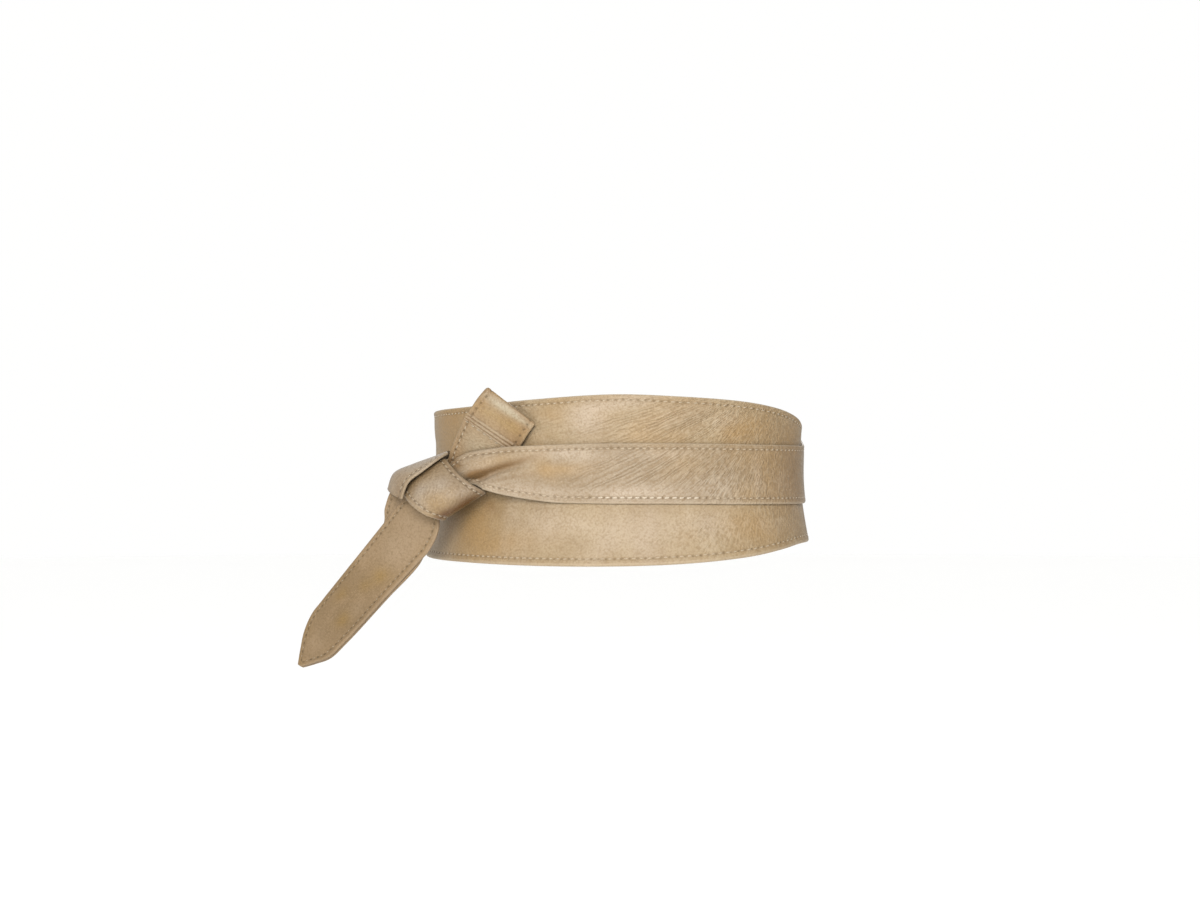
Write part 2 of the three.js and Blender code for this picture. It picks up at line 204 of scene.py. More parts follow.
# Outer face of a strap: A + (B - A) v + bow 4 v (1 - v), less the trough crease (1 - away)^power.
# The outermost points lie half the wall in from the edges, which are then rounded.
def strapFace(rows, places, side, shares, wall):
    widths = np.linalg.norm(rows[:, 3:6] - rows[:, 0:3], axis=1)[:, None]
    inset = np.minimum(wall / 2 / widths, 0.35)
    v = inset + (1 - 2 * inset) * shares[None, :]
    vv = v[..., None]
    points = rows[:, None, 0:3] * (1 - vv) + rows[:, None, 3:6] * vv
    points = points + rows[:, None, 6:9] * 4 * vv * (1 - vv)
    away = np.abs(v - rows[:, 10:11]) / strap["creaseHalfWidth"]
    trough = rows[:, 9:10] * np.clip(1 - away, 0, 1) ** strap["creasePower"]
    points = points - faceNormals(points, side) * trough[..., None]
    return makeFace(points, side, places, wall)


# A face's points with what is measured on them: normals, mm along and across, width
def makeFace(points, side, places, wall):
    steps = np.linalg.norm(np.diff(points, axis=1), axis=-1)
    across = np.concatenate([np.zeros((len(points), 1)), np.cumsum(steps, axis=1)], axis=1) + wall / 2
    return dict(
        points=points,
        side=side,
        normals=faceNormals(points, side),
        along=np.broadcast_to(places[:, None], across.shape),
        across=across,
        width=across[:, -1:] + wall / 2,
    )


# Relief

# Signed distance in mm from the nearer stitch row: negative towards the edge
def rowDistance(across, width, seam):
    fromA = across - seam["insetA"]
    fromB = width - across - seam["insetB"]
    return np.where(across < width / 2, fromA, fromB)


# Height of a seam's relief: a bell-shaped groove on the stitch row, deeper between the holes than
# at them, and a soft rim between the row and the edge
def seamRelief(along, distance, seam):
    groove = np.exp(-(distance / seam["grooveWidth"]) ** 2)
    pull = 1 + seam["pucker"] * np.cos(2 * pi * along / seam["pitch"])
    toRim = distance + rimShape["middle"] * seam["insetA"]
    rim = np.exp(-(toRim / (rimShape["width"] * seam["insetA"])) ** 2)
    return seam["rim"] * rim - seam["depth"] * groove * pull / (1 + seam["pucker"])


# Height of folds, each a soft ridge (or trough where its height is negative) along a bowed line from
# (x0, y0) to (x1, y1): height exp(-(distance / width)²), faded out towards both ends
def foldRelief(x, y, folds):
    relief = np.zeros(np.broadcast(x, y).shape)
    for x0, y0, x1, y1, bend, width, height in folds:
        length = np.hypot(x1 - x0, y1 - y0)
        t = ((x - x0) * (x1 - x0) + (y - y0) * (y1 - y0)) / length ** 2
        inside = np.clip(t, 0, 1)
        sideways = ((y - y0) * (x1 - x0) - (x - x0) * (y1 - y0)) / length
        distance = sideways - bend * 4 * inside * (1 - inside)
        fade = smoothStep(0, foldFade, t) * smoothStep(1, 1 - foldFade, t)
        relief += height * np.exp(-(distance / width) ** 2) * fade
    return relief


# Soft unevenness that no pattern repeats in: a sum of slanted waves with seeded directions
def unevenness(x, y, height, wave, seed):
    random = np.random.default_rng(seed)
    total = np.zeros(np.broadcast(x, y).shape)
    for share in (1, 0.8, 0.6, 0.5, 0.4):
        turn, phase = random.uniform(0, 2 * pi, 2)
        length = wave * random.uniform(0.6, 1.4) * (0.5 + share)
        total += share * np.sin(2 * pi * (x * np.cos(turn) + y * np.sin(turn)) / length + phase)
    return total * height / 2


# Share of each soft oval spot at a point: exp(-(turned x / reachX)² - (turned y / reachY)²) amount
def spots(x, y, table):
    total = np.zeros(np.broadcast(x, y).shape)
    for atX, atY, reachX, reachY, turn, amount in table:
        c, s = np.cos(radians(turn)), np.sin(radians(turn))
        u = (x - atX) * c + (y - atY) * s
        w = (y - atY) * c - (x - atX) * s
        total += amount * np.exp(-(u / reachX) ** 2 - (w / reachY) ** 2)
    return total


# Coordinates that fine wrinkles are drawn along, in mm: the distance to a pivot, and the angle round
# it as a length. Round the waist the facing is folded back and forth, so the fans repeat.
wrinkleFan = dict(pivotX=184, pivotY=95, foldLength=244, radius=140, drift=0.8)


def waistFan(x, y):
    fan = wrinkleFan
    period = 2 * fan["foldLength"]
    away = np.abs((x - fan["pivotX"] + fan["foldLength"]) % period - fan["foldLength"])
    rise = fan["pivotY"] - y
    drift = fan["drift"] * (x - fan["pivotX"] + away)
    return np.hypot(away, rise) + drift, fan["radius"] * np.arctan2(rise, away)


# The same on a stretch of the knot: straight wrinkles, turned by an angle from the strap's length
def turnedLines(x, y, turn):
    c, s = np.cos(radians(turn)), np.sin(radians(turn))
    return x * c + y * s, y * c - x * s


# Shells

# Closed wall round a face. A ring runs along the outer face from edge A to edge B, round the edge
# on a half circle with a notch where two layers meet, back along the inner face on every second
# point, and round edge A. Returns points in rings, with what is painted on them.
def wallRings(face, seam, folds, wall, notch):
    normals = face["normals"]
    distance = rowDistance(face["across"], face["width"], seam)
    seams = seamRelief(face["along"], distance, seam)
    outer = face["points"] + normals * (folds + seams)[..., None]
    inner = face["points"] + normals * (folds - seams - wall)[..., None]
    turns = np.radians(edgeShape["turns"])
    radius = wall / 2 * (1 - notch * np.exp(-(turns / edgeShape["notchWidth"]) ** 2))

    # centre + radius (sin angle normal + cos angle away from the face)
    def roundEdge(column, neighbour, angles, radii):
        normal = normals[:, column]
        off = face["points"][:, column] - face["points"][:, neighbour]
        off = off - normal * np.sum(off * normal, axis=1, keepdims=True)
        off = off / np.linalg.norm(off, axis=1, keepdims=True)
        centre = face["points"][:, column] + normal * (folds[:, column] - wall / 2)[:, None]
        lift = np.sin(angles)[None, :, None] * normal[:, None]
        reach = np.cos(angles)[None, :, None] * off[:, None]
        return centre[:, None] + (lift + reach) * radii[None, :, None]

    edgeB = roundEdge(-1, -2, turns, radius)
    edgeA = roundEdge(0, 1, turns[::-1], radius[::-1])
    points = np.concatenate([outer, edgeB, inner[:, ::-2], edgeA], axis=1)
    edgeCount = len(turns)

    # the outer face's values all round the ring, with one value on both edges
    def ringValues(values, atEdge):
        edge = np.full((len(values), edgeCount), atEdge, float)
        return np.concatenate([values, edge, values[:, ::-2], edge], axis=1)

    innerShare = np.zeros(points.shape[:2])
    innerShare[:, outer.shape[1] + edgeCount:-edgeCount] = 1
    return dict(
        points=points,
        along=np.broadcast_to(face["along"][:, :1], points.shape[:2]),
        distance=ringValues(distance, -seam["insetA"]),
        inner=innerShare,
        outerCount=outer.shape[1],
        edgeCount=edgeCount,
        spread=ringValues,
    )


# Faces of closed rings: quads between neighbouring rings, and each end shut by five-sided faces
# between the outer points, taken three at a time, and the inner ones
def ringFaces(count, size, outerCount, edgeCount):
    index = np.arange(count * size).reshape(count, size)
    nextRing, following = index[1:], np.roll(index, -1, axis=1)
    quads = np.stack([index[:-1], following[:-1], np.roll(nextRing, -1, axis=1), nextRing], axis=-1)
    k = np.arange((outerCount - 1) // 2)
    innerFirst = size - edgeCount - 1
    cap = np.stack([2 * k, 2 * k + 1, 2 * k + 2, innerFirst - k - 1, innerFirst - k], axis=-1)
    edgeB = np.arange(outerCount - 1, outerCount + edgeCount + 1)
    edgeA = np.concatenate([np.arange(innerFirst, size), [0]])
    last = (count - 1) * size
    caps = (cap + last).tolist() + cap[:, ::-1].tolist()
    caps += [(edgeB + last).tolist(), edgeB[::-1].tolist()]
    caps += [(edgeA + last).tolist(), edgeA[::-1].tolist()]
    return quads.reshape(-1, 4), caps


# Length round its ring at each face corner. A quad that closes a ring takes the whole perimeter at
# the ring's first point, so that the surface map doesn't run back there.
def lengthRound(points, corner, quadCount):
    size = points.shape[1]
    steps = np.linalg.norm(np.diff(points, axis=1), axis=-1)
    length = np.concatenate([np.zeros((len(points), 1)), np.cumsum(steps, axis=1)], axis=1)
    perimeter = length[:, -1] + np.linalg.norm(points[:, 0] - points[:, -1], axis=-1)
    places = length.reshape(-1)[corner]
    inQuads = corner[:4 * quadCount].reshape(-1, 4)
    column, row = inQuads % size, inQuads // size
    closes = (column.max(axis=1) - column.min(axis=1) > size // 2)[:, None] & (column == 0)
    inQuads = np.where(closes, perimeter[row], places[:4 * quadCount].reshape(-1, 4))
    places[:4 * quadCount] = inQuads.reshape(-1)
    return places


# Mesh of a shell: its rings as closed quads and caps, three maps (surface, seam, drawn) and paints
def shellMesh(name, rings, side, paints, drawn):
    points = rings["points"]
    quads, caps = ringFaces(*points.shape[:2], rings["outerCount"], rings["edgeCount"])
    faces = quads.tolist() + caps
    if side < 0:
        faces = [face[::-1] for face in faces]
    mesh = bpy.data.meshes.new(name)
    mesh.from_pydata((points.reshape(-1, 3) * metresPerMm).tolist(), [], faces)
    smooth = np.zeros(len(mesh.polygons), bool)
    smooth[:len(quads)] = True
    mesh.polygons.foreach_set("use_smooth", smooth)
    corner = np.empty(len(mesh.loops), np.int32)
    mesh.loops.foreach_get("vertex_index", corner)
    u = rings["along"].reshape(-1)[corner]
    setUv(mesh, "surface", u * metresPerMm, lengthRound(points, corner, len(quads)) * metresPerMm)
    setUv(mesh, "seam", u, rings["distance"].reshape(-1)[corner])
    setUv(mesh, "drawn", *(lines.reshape(-1)[corner] for lines in drawn))
    for paint, values in dict(paints, inner=rings["inner"]).items():
        mesh.attributes.new(paint, "FLOAT", "POINT").data.foreach_set("value", values.reshape(-1))
    mesh.validate(clean_customdata=False)
    return mesh


# A map of the mesh: (u, v) at each face corner
def setUv(mesh, name, u, v):
    layer = mesh.uv_layers.new(name=name)
    layer.data.foreach_set("uv", np.column_stack([u, v]).reshape(-1).astype(np.float32))


# An object at the origin, unturned, with one material
def addObject(name, mesh, material):
    thing = bpy.data.objects.new(name, mesh)
    bpy.context.scene.collection.objects.link(thing)
    mesh.materials.append(material)
    return thing


# Threads

# A stitch is a thin bead along x from -1 to 1: rings of radius sqrt(1 - x²), its ends bent down
def stitchBead():
    x = np.array([-0.88, -0.5, 0, 0.5, 0.88])
    turn = np.linspace(0, 2 * pi, 6, endpoint=False)
    radius = np.sqrt(1 - x ** 2)[:, None]
    ring = np.stack([x[:, None] + 0 * turn, radius * np.sin(turn), radius * np.cos(turn)], axis=-1)
    points = np.concatenate([[[-1, 0, 0]], ring.reshape(-1, 3), [[1, 0, 0]]])
    first = 1 + np.arange(5)[:, None] * 6 + np.arange(6)
    turned = np.roll(first, -1, axis=1)
    quads = np.stack([first[:-1], first[1:], turned[1:], turned[:-1]], axis=-1).reshape(-1, 4)
    start = np.stack([0 * first[0], first[0], turned[0]], axis=-1)
    end = np.stack([0 * first[0] + len(points) - 1, turned[-1], first[-1]], axis=-1)
    return points, quads, np.concatenate([start, end])


# Path of a stitch row on one face of a shell, at its inset from edge A or B: points and normals
def seamPath(face, seam, folds, wall, edge, inside):
    inset = seam["insetA"] if edge == "A" else seam["insetB"]
    across = face["across"] if edge == "A" else face["width"] - face["across"]
    order = slice(None) if edge == "A" else slice(None, None, -1)
    across = across[:, order]
    lift = folds - wall if inside else folds
    surface = (face["points"] + face["normals"] * lift[..., None])[:, order]
    normals = face["normals"][:, order]
    row = np.arange(len(across))
    i = np.clip((across < inset).sum(axis=1) - 1, 0, across.shape[1] - 2)
    f = ((inset - across[row, i]) / (across[row, i + 1] - across[row, i]))[:, None]
    wide = face["width"][:, 0] > seam["insetA"] + seam["insetB"] + seam["threadWidth"]
    points = surface[row, i] * (1 - f) + surface[row, i + 1] * f
    sign = -1 if inside else 1
    return dict(points=points, normals=sign * (normals[row, i] * (1 - f) + normals[row, i + 1] * f),
                along=face["along"][:, 0], keep=wide & (f[:, 0] >= 0))


# Stitches along a path, one for each pitch, halfway between the holes, sunk into the groove
def stitchesOn(path, seam, spans=None):
    along = path["along"]
    centres = (np.arange(along[0] // seam["pitch"], along[-1] // seam["pitch"]) + 0.5) * seam["pitch"]
    kept = np.interp(centres, along, path["keep"].astype(float)) > 0.99
    if spans is not None:
        kept &= np.any([(centres > low) & (centres < high) for low, high in spans], axis=0)
    centres = centres[kept]

    # values between the path's points, at places along it
    def at(values, places):
        return np.column_stack([np.interp(places, along, values[:, k]) for k in range(3)])

    middle, normal = at(path["points"], centres), at(path["normals"], centres)
    reach = 0.4 * seam["pitch"]
    tangent = at(path["points"], centres + reach) - at(path["points"], centres - reach)
    normal = normal / np.linalg.norm(normal, axis=1, keepdims=True)
    tangent = tangent - normal * np.sum(tangent * normal, axis=1, keepdims=True)
    tangent = tangent / np.linalg.norm(tangent, axis=1, keepdims=True)
    sideways = np.cross(normal, tangent)
    slant = stitchShape["slant"]
    tangent, sideways = tangent + slant * sideways, sideways - slant * tangent
    middle = middle - normal * seam["depth"] * stitchShape["sunk"]
    return (middle, tangent * seam["threadLength"] / 2, sideways * seam["threadWidth"] / 2,
            normal * stitchShape["rise"])


# One joined mesh of beads, each laid at its stitch's middle along its tangent. A bead's ends dive by
# dive x², so that the thread goes into the holes.
def threadObject(name, stitches, material):
    middle, tangent, sideways, normal = (np.concatenate(part) for part in zip(*stitches))
    bead, quads, triangles = stitchBead()
    lift = bead[:, 2] - stitchShape["dive"] / stitchShape["rise"] * bead[:, 0] ** 2
    points = (middle[:, None] + tangent[:, None] * bead[:, 0, None]
              + sideways[:, None] * bead[:, 1, None] + normal[:, None] * lift[:, None])
    offsets = (np.arange(len(middle)) * len(bead))[:, None, None]
    faces = (quads + offsets).reshape(-1, 4).tolist() + (triangles + offsets).reshape(-1, 3).tolist()
    mesh = bpy.data.meshes.new(name)
    mesh.from_pydata((points.reshape(-1, 3) * metresPerMm).tolist(), [], faces)
    mesh.polygons.foreach_set("use_smooth", np.ones(len(mesh.polygons), bool))
    thing = addObject(name, mesh, material)
    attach(thing, "root")
    print(name, len(middle), "stitches")


# Materials

# A socket of a material, with arithmetic that adds Math nodes
class Wire:
    def __init__(self, maker, socket):
        self.maker = maker
        self.socket = socket

    def math(self, operation, first, second=None):
        values = {0: first} if second is None else {0: first, 1: second}
        return self.maker.add("ShaderNodeMath", {"operation": operation}, values)

    def __add__(self, other):
        return self.math("ADD", self, other)

    def __radd__(self, other):
        return self.math("ADD", other, self)

    def __sub__(self, other):
        return self.math("SUBTRACT", self, other)

    def __rsub__(self, other):
        return self.math("SUBTRACT", other, self)

    def __mul__(self, other):
        return self.math("MULTIPLY", self, other)

    def __rmul__(self, other):
        return self.math("MULTIPLY", other, self)

    def __truediv__(self, other):
        return self.math("DIVIDE", self, other)

    def __pow__(self, other):
        return self.math("POWER", self, other)

    def __abs__(self):
        return self.math("ABSOLUTE", self)


# Node tree of one material. add takes a node's type, its settings, then its sockets' values or
# wires. The methods below it are the nodes that the materials use over and over.
class MaterialMaker:
    def __init__(self, name):
        self.material = bpy.data.materials.new(name)
        self.material.use_nodes = True
        self.tree = self.material.node_tree
        self.tree.nodes.clear()

    def add(self, kind, settings=None, sockets=None, output=0):
        node = self.tree.nodes.new(kind)
        for key, value in (settings or {}).items():
            setattr(node, key, value)
        for key, value in (sockets or {}).items():
            if isinstance(value, Wire):
                self.tree.links.new(value.socket, node.inputs[key])
            else:
                node.inputs[key].default_value = value
        return Wire(self, node.outputs[output]) if node.outputs else None

    def step(self, value, low, high):
        sockets = {"Value": value, "From Min": low, "From Max": high}
        return self.add("ShaderNodeMapRange", {"interpolation_type": "SMOOTHSTEP"}, sockets)

    def mix(self, share, first, second):
        settings = {"data_type": "RGBA", "clamp_factor": True}
        colours = {6: self.colour(first), 7: self.colour(second)}
        return self.add("ShaderNodeMix", settings, {0: share, **colours}, output=2)

    def colour(self, value):
        return value if isinstance(value, Wire) else (*value, 1)

    def noise(self, place, scale, detail=2, roughness=0.5, distortion=0):
        sockets = {"Vector": place, "Scale": scale, "Detail": detail, "Roughness": roughness,
                   "Distortion": distortion}
        return self.add("ShaderNodeTexNoise", None, sockets)

    def cells(self, place, scale):
        return self.add("ShaderNodeTexVoronoi", {"feature": "F1"}, {"Vector": place, "Scale": scale})

    def paint(self, name):
        return self.add("ShaderNodeAttribute", {"attribute_name": name}, None, output=2)

    def turned(self, place, angle, scale):
        sockets = {"Vector": place, "Rotation": (0, 0, radians(angle)), "Scale": scale}
        return self.add("ShaderNodeMapping", {"vector_type": "TEXTURE"}, sockets)

    def finish(self, sockets):
        shader = self.add("ShaderNodeBsdfPrincipled", None, sockets)
        self.add("ShaderNodeOutputMaterial", None, {"Surface": shader})
        return self.material


# Leather: a clouded colour with ochre and pale patches, painted shade and painted highlights, a mottled
# grain, wrinkles along the drawn coordinates where they are painted, and a hole at each end of each stitch
def leatherMaterial(name, look):
    maker = MaterialMaker(name)
    place = maker.add("ShaderNodeTexCoord", None, None, output=3)
    drawn = maker.add("ShaderNodeUVMap", {"uv_map": "drawn"})
    seamMap = maker.add("ShaderNodeUVMap", {"uv_map": "seam"})
    # Paints: ochre gives ochre patches and ochre painted as shade, pale gives pale patches and painted
    # highlights, and dark gives painted shade in creases, under the knot and bow and where the belt turns
    # from the light
    inner, ochreAndShade, paleAndHighlight = maker.paint("inner"), maker.paint("ochreAndShade"), maker.paint("paleAndHighlight")
    dark, wrinkled, pebbled = maker.paint("dark"), maker.paint("wrinkled"), maker.paint("pebbled")

    cloud = maker.noise(place, look["cloudScale"], 4, 0.6, 0.6)
    patch = maker.noise(place, look["patchScale"], 3, 0.55, 0.3)
    colour = maker.mix(maker.step(cloud, 0.6, 0.36) * look["cloudDark"], look["middle"], look["deep"])
    colour = maker.mix(maker.step(cloud, 0.52, 0.78) * look["cloudLight"], colour, look["light"])
    # random ochre and pale patches, plus the painted ochre shade and the painted highlights
    colour = maker.mix(maker.step(patch, 0.5, 0.68) * look["ochreShare"] + ochreAndShade, colour, look["ochreAndShade"])
    colour = maker.mix(maker.step(patch, 0.5, 0.3) * look["paleShare"] + paleAndHighlight, colour, look["paleAndHighlight"])
    # painted shade: the shade colour wherever the dark paint lies
    colour = maker.mix(dark, colour, look["dark"])

    # wrinkles: stripes that wander and break off, with wide ridges between narrow troughs
    drawnAcross = maker.add("ShaderNodeSeparateXYZ", None, {0: drawn}, output=1)
    wander = maker.noise(maker.turned(drawn, 0, look["wanderReach"]), 1)
    breaks = maker.noise(maker.turned(drawn, look["breakTurn"], look["breakReach"]), 1)
    turn = drawnAcross * (2 * pi / look["wrinklePitch"]) + wander * look["wander"]
    stripe = turn.math("SINE", turn) + (breaks - 0.5) * look["breakUp"]
    ridge = maker.step(stripe, -1.3, 0.5)
    wrinkle = (ridge - look["ridgeMean"]) * (wrinkled * (1 - look["restWrinkles"]) + look["restWrinkles"])

    # grain: a mottle and round pebbles all over, and long cells where it is painted pebbled
    mottle = maker.noise(place, look["grainScale"], 2, 0.6, 0.3)
    pebbles = maker.cells(place, look["pebbleScale"])
    cells = maker.cells(maker.turned(drawn, 0, look["cellReach"]), 1)
    grain = (mottle - 0.5) * look["mottleShare"] + (0.42 - pebbles) * look["pebbleShare"]
    grain = grain + (cells - 0.48) * pebbled * look["cellShare"]

    # painted highlight on the wrinkles' ridges and painted shade in their troughs
    colour = maker.mix(maker.step(wrinkle, 0.02, 0.36) * look["ridgeHighlight"], colour, look["light"])
    colour = maker.mix(maker.step(wrinkle, -0.02, -0.64) * look["troughShade"], colour, look["deep"])
    colour = maker.mix(maker.step(grain, 0.04, -0.34) * look["grainDark"], colour, look["deep"])
    colour = maker.mix(maker.step(grain, -0.02, 0.36) * look["grainLight"], colour, look["light"])

    # seams: painted shade in the groove on the stitch row, oval holes in it painted dark as their shade,
    # and a lighter rim outside it
    alongSeam = maker.add("ShaderNodeSeparateXYZ", None, {0: seamMap}) / look["pitch"]
    rowPlace = maker.add("ShaderNodeSeparateXYZ", None, {0: seamMap}, output=1)
    toHole = abs(alongSeam - alongSeam.math("ROUND", alongSeam)) * look["pitch"]
    hole = maker.step((toHole ** 2 * look["holeStretch"] + rowPlace ** 2) ** 0.5, 0.8, 0.3)
    groove = maker.step(abs(rowPlace), 1.7, 0.3)
    rim = maker.step(rowPlace, look["rimStart"], look["rimStart"] - 0.8)
    colour = maker.mix(groove * look["grooveShade"], colour, look["deep"])
    colour = maker.mix(rim * look["rimShare"], colour, look["light"])
    colour = maker.mix(hole * look["holeShare"], colour, look["hole"])
    if look["suedeShare"]:
        colour = maker.mix(inner * look["suedeShare"], colour, look["suede"])

    roughness = look["roughness"] + (cloud - 0.5) * 0.16 + hole * 0.3 + inner * look["suedeRough"]
    height = grain * look["grainHeight"] + wrinkle * look["wrinkleHeight"] - hole * look["holeDepth"]
    bump = maker.add("ShaderNodeBump", None, {"Strength": 1.0, "Distance": metresPerMm, "Height": height})
    return maker.finish({"Base Color": colour, "Roughness": roughness, "Normal": bump,
                         "Specular IOR Level": look["gloss"]})


threadTwist = dict(scale=2600, strength=0.6, height=0.0002)


# Thread: a pale, slightly hairy cord of the leather's own colour
def threadMaterial(name, look):
    maker = MaterialMaker(name)
    place = maker.add("ShaderNodeTexCoord", None, None, output=3)
    twist = maker.noise(place, threadTwist["scale"], 1)
    colour = maker.mix(maker.step(twist, 0.35, 0.65), look["dark"], look["light"])
    bump = maker.add("ShaderNodeBump", None, {"Strength": threadTwist["strength"],
                                              "Distance": threadTwist["height"], "Height": twist})
    return maker.finish({"Base Color": colour, "Roughness": 0.62, "Normal": bump, "Sheen Weight": 0.2})


# Looks: colours first, then clouds and patches (sizes per metre), grain, wrinkles (in mm), seams and
# finish. The strap, knot, bow and tail differ from the body only in what they state. dark is the colour of
# painted shade, ochre and pale serve also for painted shade and painted highlights, light and deep also
# for the wrinkles' painted highlights and painted shade, and hole for the painted shade in the stitch
# holes.
bodyLook = dict(
    middle=(0.193, 0.146, 0.088), light=(0.266, 0.218, 0.156), deep=(0.125, 0.081, 0.04),
    ochreAndShade=(0.188, 0.119, 0.05), paleAndHighlight=(0.262, 0.215, 0.164), dark=(0.1, 0.055, 0.021),
    hole=(0.045, 0.032, 0.018), suede=(0.2, 0.15, 0.1),
    cloudScale=34, cloudDark=0.32, cloudLight=0.45, patchScale=17, ochreShare=0.42, paleShare=0.26,
    grainScale=820, pebbleScale=680, cellReach=(3.2, 1.9, 1),
    mottleShare=0.9, pebbleShare=0.6, cellShare=1.4, grainHeight=0.32, grainDark=0.42, grainLight=0.2,
    wrinklePitch=1.9, wander=22, wanderReach=(24, 6, 1), breakUp=3.6, breakReach=(9, 2, 1), breakTurn=4,
    ridgeMean=0.64, restWrinkles=0.12, wrinkleHeight=0.36, ridgeHighlight=0.12, troughShade=0.42,
    pitch=panelSeam["pitch"], grooveShade=0.22, rimStart=-2.6, rimShare=0.35,
    holeStretch=0.55, holeShare=0.18, holeDepth=0.3,
    roughness=0.48, gloss=0.15, suedeShare=0.85, suedeRough=0.35,
)
strapLook = dict(
    bodyLook, middle=(0.17, 0.133, 0.091), ochreAndShade=(0.19, 0.128, 0.064), pitch=strapSeam["pitch"],
    rimStart=-2.2, suedeShare=0, suedeRough=0,
)
knotLook = dict(
    strapLook, middle=(0.155, 0.112, 0.066), light=(0.215, 0.175, 0.127), deep=(0.085, 0.054, 0.028),
    # dark: the knot's painted shade colour, near black
    ochreAndShade=(0.155, 0.102, 0.046), paleAndHighlight=(0.205, 0.172, 0.135), dark=(0.062, 0.026, 0.005),
    restWrinkles=0.06, cloudDark=0.45, roughness=0.4, gloss=0.24, holeShare=0.45, rimShare=0.25,
)
loopLook = dict(
    knotLook, middle=(0.156, 0.1, 0.051), light=(0.21, 0.16, 0.1), deep=(0.1, 0.062, 0.03),
    ochreAndShade=(0.158, 0.098, 0.036), paleAndHighlight=(0.205, 0.172, 0.118), gloss=0.15,
)
tailLook = dict(
    strapLook, middle=(0.141, 0.096, 0.053), light=(0.182, 0.134, 0.086), deep=(0.095, 0.064, 0.032),
    ochreAndShade=(0.135, 0.084, 0.028), paleAndHighlight=(0.168, 0.121, 0.075), pitch=tailSeam["pitch"],
    grainHeight=0.18, grainLight=0.3, restWrinkles=0.04, cloudDark=0.5, roughness=0.52, gloss=0.12,
    holeShare=0.45,
)
bodyLeather = leatherMaterial("bodyLeather", bodyLook)
strapLeather = leatherMaterial("strapLeather", strapLook)
knotLeather = leatherMaterial("knotLeather", knotLook)
loopLeather = leatherMaterial("loopLeather", loopLook)
tailLeather = leatherMaterial("tailLeather", tailLook)
bodyThread = threadMaterial("bodyThread", dict(dark=(0.18, 0.135, 0.082), light=(0.27, 0.222, 0.16)))
brightThread = threadMaterial("brightThread", dict(dark=(0.26, 0.21, 0.15), light=(0.35, 0.31, 0.25)))
knotThread = threadMaterial("knotThread", dict(dark=(0.14, 0.105, 0.062), light=(0.25, 0.21, 0.155)))
tailThread = threadMaterial("tailThread", dict(dark=(0.115, 0.083, 0.044), light=(0.18, 0.14, 0.09)))
print("materials ready")


# Waist panel

